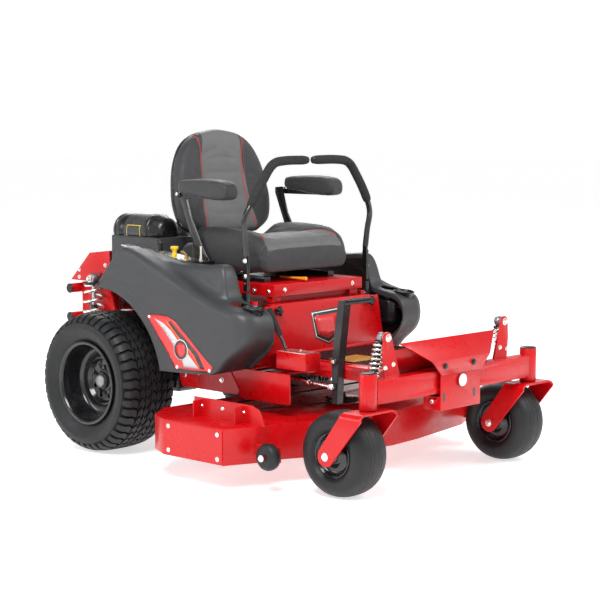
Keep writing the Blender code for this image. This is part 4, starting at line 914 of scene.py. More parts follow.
def fender_decals(name, side, panel):
    """The red field with a silver sweep and a dark stripe, plus the rivets that hold the panel."""
    red = [(-0.27, 0.52), (-0.33, 0.527), (-0.382, 0.526), (-0.423, 0.511), (-0.494, 0.457), (-0.563, 0.403),
           (-0.612, 0.367), (-0.6, 0.345), (-0.421, 0.341), (-0.384, 0.386), (-0.322, 0.458)]
    side_decal(f"decal_edge_{name}", "chassis", "dark_label", red, panel, side, 0.0006)
    side_decal(f"decal_field_{name}", "chassis", "red_label", inset_outline(red, 0.0035), panel, side, 0.001)
    sweep = [(-0.311, 0.511), (-0.36, 0.497), (-0.4, 0.474), (-0.452, 0.428), (-0.5, 0.389), (-0.54, 0.3555),
             (-0.464, 0.3535), (-0.457, 0.373), (-0.407, 0.428), (-0.356, 0.478)]
    side_decal(f"decal_sweep_{name}", "chassis", "silver_label", sweep, panel, side, 0.0014)
    stripe = [(-0.386, 0.503), (-0.437, 0.459), (-0.52, 0.398), (-0.55, 0.3555), (-0.57, 0.3555),
              (-0.535, 0.407), (-0.452, 0.467), (-0.397, 0.508)]
    side_decal(f"decal_stripe_{name}", "chassis", "dark_label", stripe, panel, side, 0.0016)
    glow = [(-0.362, 0.508), (-0.384, 0.5035), (-0.435, 0.4595), (-0.518, 0.3985), (-0.548, 0.3555),
            (-0.5445, 0.3555), (-0.515, 0.396), (-0.431, 0.457), (-0.38, 0.4995)]
    side_decal(f"decal_glow_{name}", "chassis", "orange_label", glow, panel, side, 0.0018)
    badge = [(-0.45 + 0.036 * math.cos(a), 0.412 + 0.036 * math.sin(a)) for a in round_angles(36)]
    for paint, drawn, lift in (("white_label", 0.0, 0.0021), ("dark_label", 0.003, 0.0024),
                               ("red_label", 0.012, 0.0027)):
        outline = inset_outline(badge, drawn) if drawn else badge
        side_decal(f"badge_{paint}_{name}", "chassis", paint, outline, panel, side, lift)
    for y, z in ((-0.286, 0.514), (-0.429, 0.35), (-0.592, 0.353)):
        hit = laid_on(panel, [(side * 0.6, y, z)], (-side, 0, 0))[0]
        fastener("chassis", hit, X_AXIS * side, 0.0045)


# ---------------------------------------------------------------- seat
LEAN = Matrix.Rotation(math.radians(-10.5), 4, "X")
BACK_HINGE = Vector((0.0, -0.177, 0.775))
BACK_CENTRE_Z = 0.965
LEANED = Matrix.Translation(BACK_HINGE) @ LEAN @ Matrix.Translation(-BACK_HINGE)
CUSHION_STATIONS = [
    (-0.593, 0.205, 0.725, 0.725), (-0.585, 0.222, 0.76, 0.758), (-0.56, 0.23, 0.783, 0.79),
    (-0.52, 0.234, 0.791, 0.808), (-0.47, 0.234, 0.788, 0.816), (-0.4, 0.234, 0.782, 0.82),
    (-0.33, 0.234, 0.776, 0.82), (-0.26, 0.232, 0.77, 0.816), (-0.242, 0.225, 0.766, 0.796),
    (-0.225, 0.215, 0.76, 0.762), (-0.155, 0.205, 0.75, 0.75),
]
BACK_OUTLINE = [
    (0.15, 0.772), (0.215, 0.812), (0.238, 0.88), (0.236, 0.95), (0.215, 1.04), (0.17, 1.117), (0.1, 1.162),
    (0.0, 1.178),
]


FILLING_STEPS = 20


def stuffed(obj, cell, seam_strength, most):
    """Fills a cover like a cushion: cloth under pressure, held where seam_strength (0 to 1) says.
    No point moves further than most."""
    modifier(obj, "REMESH", mode="VOXEL", voxel_size=cell, adaptivity=0.0)
    applied(obj)
    rest = [v.co.copy() for v in obj.data.vertices]
    group = obj.vertex_groups.new(name="seams")
    for i, place in enumerate(rest):
        group.add([i], seam_strength(in_machine(place)), "REPLACE")
    cloth = obj.modifiers.new("filling", "CLOTH")
    settings = cloth.settings
    settings.quality, settings.mass = 6, 0.3
    settings.tension_stiffness = settings.compression_stiffness = 30.0
    settings.shear_stiffness, settings.bending_stiffness = 15.0, 3.0
    settings.use_pressure, settings.uniform_pressure_force = True, 4.0
    settings.effector_weights.gravity = 0.0
    settings.vertex_group_mass, settings.pin_stiffness = "seams", 1.0
    cloth.collision_settings.use_collision = False
    cloth.point_cache.frame_start, cloth.point_cache.frame_end = 1, FILLING_STEPS
    for step in range(1, FILLING_STEPS + 1):
        bpy.context.scene.frame_set(step)
    applied(obj)
    bpy.context.scene.frame_set(1)
    obj.vertex_groups.clear()
    for vert, before in zip(obj.data.vertices, rest):
        shift = vert.co - before
        if shift.length > most:
            vert.co = before + shift.normalized() * most
    modifier(obj, "SMOOTH", factor=0.5, iterations=4)
    subdivide(obj, 1)
    applied(obj)
    obj.data.shade_smooth()
    return obj


def grooved(obj, depth_at):
    """Presses each vertex in, against its normal, by the depth at its place."""
    normals = [v.normal.copy() for v in obj.data.vertices]
    for vert, normal in zip(obj.data.vertices, normals):
        vert.co -= normal * depth_at(in_machine(vert.co), normal)
    obj.data.update()
    return obj


def groove(distance, width, depth):
    return depth * math.exp(-(distance / width) ** 2)


def front_seam_y(x):
    """Where the cushion's front seam runs: straight across, then curving forward at its ends."""
    return -0.578 - 0.1 * max(0.0, abs(x) - 0.14) ** 1.2


def seam_x(y):
    """How far out the cushion's long seams run: straight, then flaring out towards the front."""
    flare = min(max((PANEL_FLARES_Y - y) / (PANEL_FLARES_Y - PANEL_FRONT_Y), 0.0), 1.0)
    return PANEL_HALF + (PANEL_FRONT_HALF - PANEL_HALF) * flare


def cushion_seam_gap(place):
    """How far a point on top of the cushion is from its nearest seam."""
    long_seam = place.y > -0.58 and place.z > 0.735
    gap = abs(abs(place.x) - seam_x(place.y)) if long_seam else FAR
    return min(gap, abs(place.y - front_seam_y(place.x)) if place.z > 0.7 else FAR)


def stitched(shape, path, rise, gap=0.15, steepest=0.006):
    """A stitch over each step of a path, each bulging by rise, left out where the path drops away."""
    away = rise.normalized()
    for a, b in zip(path, path[1:]):
        if abs((a - b).dot(away)) < steepest:
            shape.tube([a.lerp(b, gap), a.lerp(b, 0.5) + rise, a.lerp(b, 1.0 - gap)], 0.0007, 6)


def seat_cushion():
    rows = []
    low = 0.668
    for y, half, centre, bolster in CUSHION_STATIONS:
        dip = bolster - centre
        right = [(0.0, low), (half * 0.5, low), (half - 0.02, low), (half - 0.002, low + 0.018),
                 (half, low + 0.045), (half, bolster - 0.04), (half - 0.008, bolster - 0.014),
                 (half - 0.03, bolster), (half - 0.06, bolster - dip * 0.15),
                 (half - 0.088, centre + dip * 0.35), (0.11, centre + dip * 0.02), (0.055, centre + 0.001),
                 (0.0, centre)]
        ring = right + [(-x, z) for x, z in reversed(right[1:-1])]
        rows.append([(x, y, z) for x, z in ring])
    cushion = Shape("seat_cover").grid(rows, round_columns=True, caps=True).made("cushion", "seat",
                                                                                 slot="seat_vinyl")
    stuffed(cushion, 0.0055, lambda p: 1.0 if p.z < 0.69 or cushion_seam_gap(p) < 0.006 else 0.0, 0.012)

    def depth(place, normal):
        if normal.z > 0.25 or (normal.y < -0.3 and place.z > 0.72):
            return groove(cushion_seam_gap(place), 0.0035, 0.003)
        return 0.0
    grooved(cushion, depth)
    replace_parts(cushion, "seat_cushion")

    piping = Shape("red_piping")
    for side in (-1, 1):
        line = [(side * seam_x(y), y, 0.95) for y in [-0.566 + 0.008 * k for k in range(42)]]
        piping.tube(laid_on(cushion, line, (0, 0, -1), -0.0006), 0.0026, 8)
    across = [-0.215 + 0.43 * k / 60 for k in range(61)]
    stitch = Shape("thread")
    for shift in (0.004, -0.009):
        path = laid_on(cushion, [(x, front_seam_y(x) + shift, 0.95) for x in across], (0, 0, -1), 0.0002)
        stitched(stitch, path, Z_AXIS * 0.0005, 0.12, 0.008)
    for side in (-1, 1):
        for shift in (0.0075, -0.0075):
            line = [(side * seam_x(y) + shift, y, 0.95) for y in [-0.56 + 0.006 * k for k in range(53)]]
            stitched(stitch, laid_on(cushion, line, (0, 0, -1), 0.0002), Z_AXIS * 0.0004)
    piping.made("cushion_piping", "seat", slot="seat_vinyl")
    stitch.made("cushion_stitches", "seat", slot="seat_vinyl")


BACK_SEAM = [(0.78, 0.13), (0.88, 0.114), (0.96, 0.105), (1.06, 0.104), (1.165, 0.116)]


def back_seam_x(z):
    """How far out the backrest's long seams run, at a height before it leans."""
    for (z0, x0), (z1, x1) in zip(BACK_SEAM, BACK_SEAM[1:]):
        if z <= z1:
            share = min(max((z - z0) / (z1 - z0), 0.0), 1.0)
            return x0 + (x1 - x0) * share * share * (3 - 2 * share)
    return BACK_SEAM[-1][1]


def seat_backrest():
    half = smooth_path([(x, z, 0.0) for x, z in BACK_OUTLINE], 4)
    outline = [Vector((p.x, p.y)) for p in half]
    outline += [Vector((-p.x, p.y)) for p in reversed(outline[:-1])]

    def ring(share, y):
        return [(p.x * share, y, BACK_CENTRE_Z + (p.y - BACK_CENTRE_Z) * share) for p in outline]
    rows = [ring(0.02, -0.204), ring(0.25, -0.204), ring(0.45, -0.205), ring(0.62, -0.211),
            ring(0.76, -0.2185), ring(0.86, -0.2205), ring(0.93, -0.214), ring(0.965, -0.196),
            ring(0.968, -0.176), ring(0.935, -0.156), ring(0.86, -0.146), ring(0.5, -0.144),
            ring(0.02, -0.144)]
    shape = Shape("back_cover").grid(rows, round_columns=True, caps=True)
    back = shape.made("backrest", "seat", slot="seat_vinyl")

    def seam_gap(p):
        return abs(abs(p.x) - back_seam_x(p.z)) if p.y < -0.175 else FAR
    stuffed(back, 0.0055, lambda p: 1.0 if p.y > -0.168 or seam_gap(p) < 0.006 else 0.0, 0.011)
    grooved(back, lambda p, n: groove(seam_gap(p), 0.0035, 0.003) if n.y < -0.25 else 0.0)
    piping, stitch = Shape("red_piping"), Shape("thread")
    heights = [0.782 + 0.007 * k for k in range(53)]
    for side in (-1, 1):
        line = [(side * back_seam_x(z), -0.4, z) for z in heights]
        piping.tube(laid_on(back, line, (0, 1, 0), -0.0006), 0.0026, 8)
        for shift in (0.0075, -0.0075):
            line = [(side * back_seam_x(z) + shift, -0.4, z) for z in heights]
            stitched(stitch, laid_on(back, line, (0, 1, 0), 0.0002), Y_AXIS * -0.0004)
    shell = Shape("black_plastic")
    shell_rows = [ring(0.962, -0.1725), ring(0.955, -0.156), ring(0.9, -0.145), ring(0.7, -0.1415),
                  ring(0.35, -0.1405), ring(0.02, -0.1405)]
    shell.grid(shell_rows, round_columns=True)
    pieces = [back, piping.made("backrest_piping", "seat", slot="seat_vinyl"),
              stitch.made("backrest_stitches", "seat", slot="seat_vinyl"),
              shell.made("backrest_shell", "seat", slot="black_plastic", sharp=50.0)]
    for piece in pieces:
        piece.data.transform(TO_ROW @ LEANED @ TO_ROW.inverted())
        piece.data.update()
    modifier(pieces[-1], "SOLIDIFY", thickness=0.0022, offset=0.0)
    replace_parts(back, "seat_backrest")


ARMREST_SEAM_Z = 0.969


def armrest(name, side):
    rows = []
    for y, half, low, high in ((-0.496, 0.027, 0.934, 0.962), (-0.489, 0.033, 0.924, 0.976),
                               (-0.47, 0.0365, 0.92, 0.986), (-0.43, 0.0375, 0.92, 0.9915),
                               (-0.37, 0.0375, 0.926, 0.9925), (-0.32, 0.037, 0.933, 0.9905),
                               (-0.275, 0.036, 0.938, 0.9885), (-0.252, 0.0345, 0.941, 0.985),
                               (-0.246, 0.028, 0.948, 0.976)):
        outline = rounded_outline([(-half, low), (half, low), (half, high), (-half, high)], 0.018, 4)
        rows.append([(side * 0.273 + x, y, z) for x, z in outline])
    pad = Shape("seat_vinyl").grid(rows, round_columns=True, caps=True)
    pad = pad.made(f"armrest_pad_{name}", f"armrest_body_{name}", slot="seat_vinyl", sharp=60.0)
    stuffed(pad, 0.004, lambda p: 1.0 if p.z < 0.945 or abs(p.z - ARMREST_SEAM_Z) < 0.003 else 0.0, 0.0045)
    grooved(pad, lambda p, n: groove(p.z - ARMREST_SEAM_Z, 0.0016, 0.0012) if abs(n.z) < 0.8 else 0.0)
    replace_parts(pad, f"armrest_{name}")
    frame_part = Shape("black_steel")
    frame_part.prism([(side * 0.25, 0.9375), (side * 0.2935, 0.9375), (side * 0.2935, 0.9425),
                      (side * 0.25, 0.9425)], "y", -0.448, -0.254)
    arm = [(-0.418, 0.921), (-0.41, 0.94), (-0.21, 0.94), (-0.2055, 0.931), (-0.21, 0.9215), (-0.24, 0.9205)]
    frame_part.prism(arm, "x", side * 0.2622, side * 0.2678)
    frame_part.rod((side * 0.2615, -0.215, 0.935), (side * 0.2758, -0.215, 0.935), 0.0118, 24)
    frame_part.paint("bright_steel").bolt((side * 0.2754, -0.215, 0.935), X_AXIS * side, 0.0068, washer=False)
    arm_obj = frame_part.made(f"armrest_arm_{name}", f"armrest_body_{name}", slot="black_steel")
    bevel(arm_obj, 0.0012)


# ---------------------------------------------------------------- controls
def control_lever(name, side):
    route = [(0.31, -0.6, 0.735), (0.318, -0.602, 0.8), (0.324, -0.608, 0.862), (0.294, -0.616, 0.921),
             (0.243, -0.618, 0.995), (0.195, -0.618, 1.047), (0.13, -0.616, 1.059), (0.017, -0.61, 1.059)]
    path = smooth_path([(side * a, b, c) for a, b, c in route], 8)
    start = 22   # the point of the path where the foam grip begins
    lever = Shape("foam_grip", "black_steel")
    lever.paint("black_steel").tube(path[:start + 2], 0.0108, 18)
    lever.paint("foam_grip")
    grip, radii = path[start:], []
    for i in range(len(grip)):
        near = min(i, len(grip) - 1 - i)
        radii.append(0.0162 - (0.003 if near == 0 else 0.0008 if near == 1 else 0.0))
    lever.tube(grip, radii, 20)
    lever.paint("black_plastic").turned([(0.0, 0.0128), (0.0012, 0.0132), (0.002, 0.012), (0.0024, 0.002)],
                                        grip[-1], grip[-1] - grip[-2], 20)
    plate = [(-0.6115, 0.6125), (-0.5915, 0.6125), (-0.5905, 0.7), (-0.593, 0.752), (-0.6, 0.7548),
             (-0.6075, 0.752), (-0.612, 0.7)]
    lever.paint("black_steel").prism(plate, "x", side * 0.3035, side * 0.3095)
    doubler = [plate[0], (-0.5925, 0.6125), (-0.5925, 0.69), (-0.597, 0.735), (-0.606, 0.735), (-0.611, 0.69)]
    lever.prism(doubler, "x", side * 0.3095, side * 0.3165)
    lever.paint("bright_steel")
    for z in (0.664, 0.717):
        lever.bolt((side * 0.3165, -0.6015, z), X_AXIS * side, 0.0068)
    lever.paint("red_plastic").turned([(0.0, 0.0045), (0.0014, 0.004)], (side * 0.3165, -0.6015, 0.64),
                                      X_AXIS * side, 16)
    made = lever.made(f"lever_arm_{name}", f"lever_upper_{name}", slot="foam_grip", sharp=38.0)
    bevel(made, 0.0008, 2, 40.0)
    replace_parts(made, f"control_lever_{name}")


def lift_pedal():
    x, y, z = -0.235, -0.9615, 0.398
    web = [(-0.97, 0.254), (-0.948, 0.254), (-0.946, 0.396), (-0.959, 0.5), (-0.974, 0.596),
           (-0.978, 0.6055), (-1.008, 0.6055), (-1.004, 0.59), (-0.992, 0.5), (-0.978, 0.396)]
    pedal = Shape("grey_steel")
    for across in (-0.0158, 0.0128):
        pedal.prism(web, "x", x + across, x + across + 0.003)
    front = [(-1.0085, 0.6055), (-1.004, 0.59), (-0.992, 0.5), (-0.978, 0.396), (-0.97, 0.254)]
    rows = [[(x - 0.0158, py, pz), (x + 0.0158, py, pz), (x + 0.0158, py + 0.003, pz),
             (x - 0.0158, py + 0.003, pz)] for py, pz in front]
    pedal.grid(rows, round_columns=True, caps=True)
    pedal.box(x - 0.015, -0.121, -1.0075, -0.9745, 0.5975, 0.601)
    pedal.box(x - 0.015, -0.121, -1.0075, -1.0045, 0.59, 0.601)
    pedal.paint("black_plastic").box(x + 0.01, -0.1225, -1.0062, -0.9758, 0.6005, 0.605)
    for k in range(9):
        ridge = x + 0.017 + k * 0.0108
        pedal.box(ridge, ridge + 0.004, -1.004, -0.9775, 0.6045, 0.6062)
    pedal.paint("grey_steel").rod((x - 0.0235, y, z), (x + 0.0215, y, z), 0.0118, 24)
    pedal.rod((x - 0.029, -0.96, 0.314), (x - 0.01, -0.96, 0.314), 0.0098, 20)
    pedal.paint("bright_steel").bolt((x - 0.023, y, z), -X_AXIS, 0.0075, washer=False)
    made = pedal.made("lift_pedal", "pedal", slot="grey_steel")
    bevel(made, 0.0009)
    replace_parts(made, "deck_lift_pedal")


def height_lever():
    x = -0.316
    path = smooth_path([(x, -0.797, 0.4325), (x, -0.785, 0.45), (x, -0.76, 0.49), (x, -0.744, 0.517)], 6)
    lever = Shape("foam_grip", "black_steel").paint("black_steel").tube(path, 0.0064, 14)
    grip = [(x, -0.77, 0.474), (x, -0.7685, 0.4765), (x, -0.745, 0.515), (x, -0.73, 0.539),
            (x, -0.7175, 0.56), (x, -0.716, 0.5625)]
    lever.paint("foam_grip").tube(grip, [0.0085, 0.01, 0.0108, 0.0108, 0.0104, 0.0075], 18)
    made = lever.made("height_grip", "height_lever", slot="foam_grip", sharp=40.0)
    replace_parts(made, "deck_height_lever")


# ---------------------------------------------------------------- engine
def engine():
    x, y = 0.03, 0.02
    block = Shape("grey_casting")
    case = [(0.3862, 0.09), (0.3862, 0.122), (0.392, 0.1248), (0.41, 0.1248), (0.414, 0.118), (0.47, 0.115),
            (0.474, 0.12), (0.486, 0.12), (0.49, 0.113), (0.56, 0.11), (0.598, 0.1), (0.5995, 0.07)]
    block.turned(case, (x, y, 0.0), Z_AXIS, 48)
    for a in round_angles(8, 0.5):
        block.paint("bright_steel").bolt((x + 0.117 * math.cos(a), y + 0.117 * math.sin(a), 0.4865), Z_AXIS,
                                         0.0055)
    for sign in (-1, 1):
        turn = Matrix.Translation((x, 0.0, 0.0)) @ Matrix.Rotation(math.radians(-35 * sign), 4, "Z")
        first = len(block.bm.verts)
        block.paint("grey_casting").box(-0.04, 0.04, 0.06, 0.195, 0.458, 0.575)
        for k in range(13):
            z = 0.444 + k * 0.0112
            fin = rounded_outline([(-0.054, 0.105), (0.054, 0.105), (0.054, 0.196), (-0.054, 0.196)], 0.01, 3)
            block.prism(fin, "z", z, z + 0.003)
        block.paint("black_steel").box(-0.042, 0.042, 0.196, 0.2085, 0.456, 0.574)
        block.paint("black_plastic").rod((0.0, 0.2, 0.5), (0.0, 0.2098, 0.5), 0.016)
        block.paint("bright_steel")
        for u, v in ((-0.034, 0.464), (0.034, 0.464), (-0.034, 0.566), (0.034, 0.566)):
            block.turned([(0.0, 0.0048), (0.0012, 0.0044)], (u, 0.2085, v), Y_AXIS, 12)
        block.bm.verts.ensure_lookup_table()
        bmesh.ops.transform(block.bm, matrix=turn, verts=block.bm.verts[first:])
    made = block.made("finned_engine", "chassis", sharp=35.0)
    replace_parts(made, "engine_block")
    bevel(made, 0.001, 2, 40.0)


def blower():
    place = Vector((0.05, 0.048, 0.0))
    shroud = Shape("black_plastic")
    skirt = [(0.6015, 0.146), (0.6015, 0.154), (0.606, 0.1548), (0.686, 0.1545), (0.696, 0.152),
             (0.73, 0.144), (0.744, 0.137), (0.752, 0.124), (0.756, 0.113), (0.759, 0.106), (0.763, 0.104)]
    shroud.turned(skirt, place, Z_AXIS, 72)
    for a in round_angles(24):
        ahead = Vector((math.cos(a), math.sin(a), 0.0))
        across = Vector((-ahead.y, ahead.x, 0.0)) * 0.0022
        inner, outer = 0.106, 0.1385
        rows = []
        for radius, z, tall in ((inner, 0.75, 0.0125), ((inner + outer) / 2, 0.744, 0.013),
                                (outer, 0.73, 0.012)):
            foot = place + ahead * radius + Z_AXIS * z
            rows.append([foot - across, foot + across, foot + across + Z_AXIS * tall,
                         foot - across + Z_AXIS * tall])
        shroud.grid(rows, round_columns=True, caps=True)
    cup = [(0.76, 0.103), (0.77, 0.1), (0.798, 0.088), (0.806, 0.083), (0.8085, 0.079), (0.806, 0.074),
           (0.798, 0.07)]
    shroud.turned(cup, place, Z_AXIS, 64)
    made = shroud.made("blower_shroud", "chassis", sharp=38.0)
    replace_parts(made, "blower_housing")

    def on_dome(radius, a):
        return place + Vector((radius * math.cos(a), radius * math.sin(a),
                               0.8105 - 0.01 * (radius / 0.075) ** 2))

    screen = Shape("bright_steel")
    for k in range(7):
        screen.tube([on_dome(0.012 + 0.0105 * k, a) for a in round_angles(48)], 0.0011, 6, closed=True)
    for a in round_angles(24):
        screen.tube([on_dome(radius, a) for radius in (0.012, 0.033, 0.054, 0.0755)], 0.001, 6)
    screen.turned([(0.808, 0.014), (0.812, 0.014), (0.813, 0.012), (0.813, 0.002)], place, Z_AXIS, 24)
    screen.bolt((place[0], place[1], 0.8085), Z_AXIS, 0.007, washer=False)
    screen.made("intake_screen", "chassis", slot="bright_steel", sharp=40.0)


def air_canister():
    place = Vector((-0.1955, 0.172, 0.7875))
    ahead = -Y_AXIS
    body = Shape("black_plastic")
    profile = [(0.0, 0.04), (0.0, 0.054), (0.003, 0.058), (0.012, 0.0615), (0.018, 0.0622), (0.02, 0.0605),
               (0.0225, 0.0605), (0.025, 0.0624), (0.06, 0.0628), (0.062, 0.0612), (0.065, 0.0612),
               (0.0675, 0.0628), (0.17, 0.0628), (0.174, 0.0652), (0.196, 0.0654), (0.1985, 0.063),
               (0.201, 0.063), (0.204, 0.0654), (0.212, 0.065), (0.22, 0.059), (0.244, 0.0535),
               (0.253, 0.046), (0.259, 0.035), (0.2605, 0.015)]
    body.turned(profile, place, ahead, 64)
    for a in round_angles(12):
        spoke = Vector((math.cos(a), 0.0, math.sin(a)))
        start, end = place + ahead * 0.221 + spoke * 0.0575, place + ahead * 0.252 + spoke * 0.0455
        body.tube([start, start.lerp(end, 0.5) + spoke * 0.0015, end], [0.0022, 0.0024, 0.0016], 8)
    for a in (math.radians(205), math.radians(335)):
        spoke = Vector((math.cos(a), 0.0, math.sin(a)))
        body.paint("bright_steel").tube([place + ahead * 0.176 + spoke * 0.0655,
                                         place + ahead * 0.19 + spoke * 0.0672,
                                         place + ahead * 0.208 + spoke * 0.066], 0.0018, 8, wide=2.6)
    made = body.made("filter_canister", "chassis", slot="black_plastic", sharp=40.0)
    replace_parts(made, "air_cleaner")

    def on_side(v, w):
        return (-0.4, place.y - v, place.z + w)
    frame_outline = rounded_outline([(0.084, -0.024), (0.16, -0.024), (0.16, 0.024), (0.084, 0.024)], 0.004)
    plain = rounded_outline([(0.0865, -0.0215), (0.1575, -0.0215), (0.1575, 0.0215), (0.0865, 0.0215)], 0.003)
    decal("canister_label_edge", "chassis", "yellow_label", frame_outline, made, on_side, (1, 0, 0), 0.0004,
          0.006)
    decal("canister_label", "chassis", "dark_label", plain, made, on_side, (1, 0, 0), 0.0007, 0.006)


def exhaust():
    can = Shape("bright_steel")
    profile = [(-0.14, 0.03), (-0.1395, 0.04), (-0.137, 0.044), (-0.133, 0.0449), (-0.13, 0.0435),
               (-0.127, 0.0435), (-0.01, 0.0435), (-0.007, 0.0448), (0.007, 0.0448), (0.01, 0.0435),
               (0.127, 0.0435), (0.13, 0.0435), (0.133, 0.0449), (0.137, 0.044), (0.1395, 0.04),
               (0.14, 0.03)]
    can.turned(profile, (0.0, 0.3, 0.5), X_AXIS, 48)
    pipe = smooth_path([(0.11, 0.3, 0.48), (0.11, 0.325, 0.4765), (0.11, 0.35, 0.473),
                        (0.11, 0.369, 0.4702)], 4)
    can.tube(pipe, 0.0136, 24)
    # painted shade: a dark disc over the pipe's capped end stands for its open bore
    can.paint("dark_label").turned([(0.0, 0.0105), (0.0006, 0.01)], pipe[-1], pipe[-1] - pipe[-2], 24)
    can.paint("black_steel").box(-0.029, 0.029, 0.2815, 0.3185, 0.387, 0.466)
    made = can.made("exhaust_can", "chassis", slot="bright_steel", sharp=40.0)
    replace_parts(made, "muffler")


def console():
    """The shelf beside the engine, with a knob, the oil dipstick, a brass fitting and a rod."""
    parts = Shape("bright_steel", "grey_steel")

    def shelf(y):
        return 0.742 + 0.122 * y
    rows = []
    for y in (0.02, -0.06, -0.106, -0.108, -0.2, -0.3, -0.39, -0.4):
        inner, z = (0.272 if y > -0.107 else 0.258), shelf(y) - (0.006 if y < -0.395 else 0.0)
        rows.append([(-0.342, y, z - 0.0035), (-0.342, y, z), (-inner, y, z), (-inner, y, z - 0.0035)])
    parts.grid(rows, round_columns=True, caps=True)
    parts.paint("black_plastic").box(-0.338, -0.262, -0.395, -0.33, shelf(-0.395) - 0.004,
                                     shelf(-0.33) + 0.0015)
    z = shelf(-0.15)
    parts.turned([(z, 0.0085), (z + 0.025, 0.007), (z + 0.026, 0.012), (z + 0.029, 0.016),
                  (z + 0.038, 0.0155), (z + 0.041, 0.013), (z + 0.042, 0.004)], (-0.3, -0.15, 0.0), Z_AXIS,
                 28)
    parts.paint("bright_steel").turned([(z - 0.001, 0.012), (z + 0.002, 0.012), (z + 0.003, 0.01)],
                                       (-0.3, -0.15, 0.0), Z_AXIS, 6)
    z = shelf(-0.222)
    parts.paint("yellow_plastic").turned([(z, 0.0085), (z + 0.016, 0.0085), (z + 0.017, 0.01),
                                          (z + 0.023, 0.0105), (z + 0.024, 0.015), (z + 0.032, 0.015),
                                          (z + 0.0335, 0.013), (z + 0.0335, 0.003)], (-0.298, -0.222, 0.0),
                                         Z_AXIS, 14)
    for a in (0.0, math.pi):
        wing = Vector((-0.298, -0.222, z + 0.029))
        out = Vector((math.cos(a), math.sin(a) * 0.4 + 0.3 * math.cos(a), 0.0))
        parts.tube([wing, wing + out * 0.012, wing + out * 0.02], [0.0045, 0.0042, 0.003], 10)
    z = shelf(-0.282)
    parts.paint("brass").turned([(z, 0.0095), (z + 0.007, 0.0095)], (-0.295, -0.282, 0.0), Z_AXIS, 6)
    parts.turned([(z + 0.007, 0.006), (z + 0.014, 0.006), (z + 0.016, 0.0035)], (-0.295, -0.282, 0.0),
                 Z_AXIS, 20)
    elbow = [(-0.295, -0.282, z + 0.012), (-0.293, -0.27, z + 0.02), (-0.29, -0.25, z + 0.022)]
    parts.tube(smooth_path(elbow, 5), 0.0042, 14)
    z = shelf(-0.36)
    parts.paint("bright_steel").rod((-0.296, -0.36, z - 0.004), (-0.293, -0.356, 0.756), 0.0048)
    parts.bolt((-0.296, -0.36, z + 0.001), Z_AXIS, 0.0085)
    parts.rod((-0.27, -0.33, shelf(-0.33)), (-0.269, -0.33, shelf(-0.33) + 0.016), 0.006)
    parts.made("service_shelf", "chassis", slot="bright_steel", sharp=38.0)


# ---------------------------------------------------------------- frame and deck fittings
SPINDLES = [(-0.425, -0.62), (0.0, -0.765), (0.425, -0.62)]
PEDAL_END, FRAME_END = Vector((-0.269, -0.955, 0.3145)), Vector((-0.269, -0.77, 0.324))


def star_knob(name, side):
    """A five-lobed clamping knob under the seat's front corner."""
    lobed = [(0.015 + 0.003 * math.cos(5 * a), a) for a in round_angles(40)]
    rows = []
    for share, y in ((0.45, -0.67), (0.55, -0.684), (0.92, -0.686), (1.0, -0.69), (1.0, -0.697),
                     (0.85, -0.7), (0.3, -0.701)):
        rows.append([(side * 0.24 + radius * math.cos(a) * share, y, 0.545 + radius * math.sin(a) * share)
                     for radius, a in lobed])
    star = Shape("black_plastic").grid(rows, round_columns=True, caps=True)
    star.made(f"star_knob_{name}", "chassis", sharp=50.0)


def side_fittings():
    """What repeats on the machine's two sides."""
    for name, side in SIDES.items():
        plugs = Shape("black_plastic")
        for z in (0.441, 0.552):
            plugs.turned([(0.0002, 0.016), (0.0002, 0.0184), (0.003, 0.0186), (0.0052, 0.0165),
                          (0.0058, 0.002)], (side * 0.27, 0.411, z), X_AXIS * side, 32)
        plugs.made(f"bumper_plugs_{name}", "chassis", sharp=40.0)
        fastener("chassis", (side * 0.117, -1.272, 0.283), X_AXIS * side, 0.0075, washer=False)
        fastener("chassis", (side * 0.3, -1.208, 0.3262), Z_AXIS, 0.006)
        for z in (0.596, 0.625):
            fastener("chassis", (side * 0.2442, 0.385, z), X_AXIS * side, 0.006)
        fastener("chassis", (side * 0.2442, 0.23, 0.65), X_AXIS * side, 0.006)
        fastener("front_axle", (side * 0.309, -1.244, 0.508), -Y_AXIS, 0.0095)
        fastener("front_axle", (side * 0.283, -1.244, 0.42), -Y_AXIS, 0.006)
        fastener("front_axle", (side * 0.322, -1.244, 0.412), -Y_AXIS, 0.006)
        for y, z in ((-0.63, 0.607), (-0.56, 0.607)):
            fastener("platform", (side * 0.229, y, z), X_AXIS * side, 0.0065)
        fastener("platform", (side * 0.176, -0.656, 0.612), -Y_AXIS, 0.006)
        star_knob(name, side)
        hanger = [(-0.288, 0.342), (-0.312, 0.263), (-0.324, 0.257), (-0.596, 0.257), (-0.608, 0.271),
                  (-0.56, 0.342)]
        plate = Shape("red_paint").prism(hanger, "x", side * 0.348, side * 0.351)
        bevel(plate.made(f"deck_hanger_{name}", "chassis"), 0.0008)
        for y, z in ((-0.33, 0.3), (-0.4, 0.315), (-0.52, 0.3)):
            fastener("chassis", (side * 0.351, y, z), X_AXIS * side, 0.0072)
        for y in (-0.72, -1.15):
            fastener("chassis", (side * 0.235, y, 0.389), Z_AXIS, 0.0062)


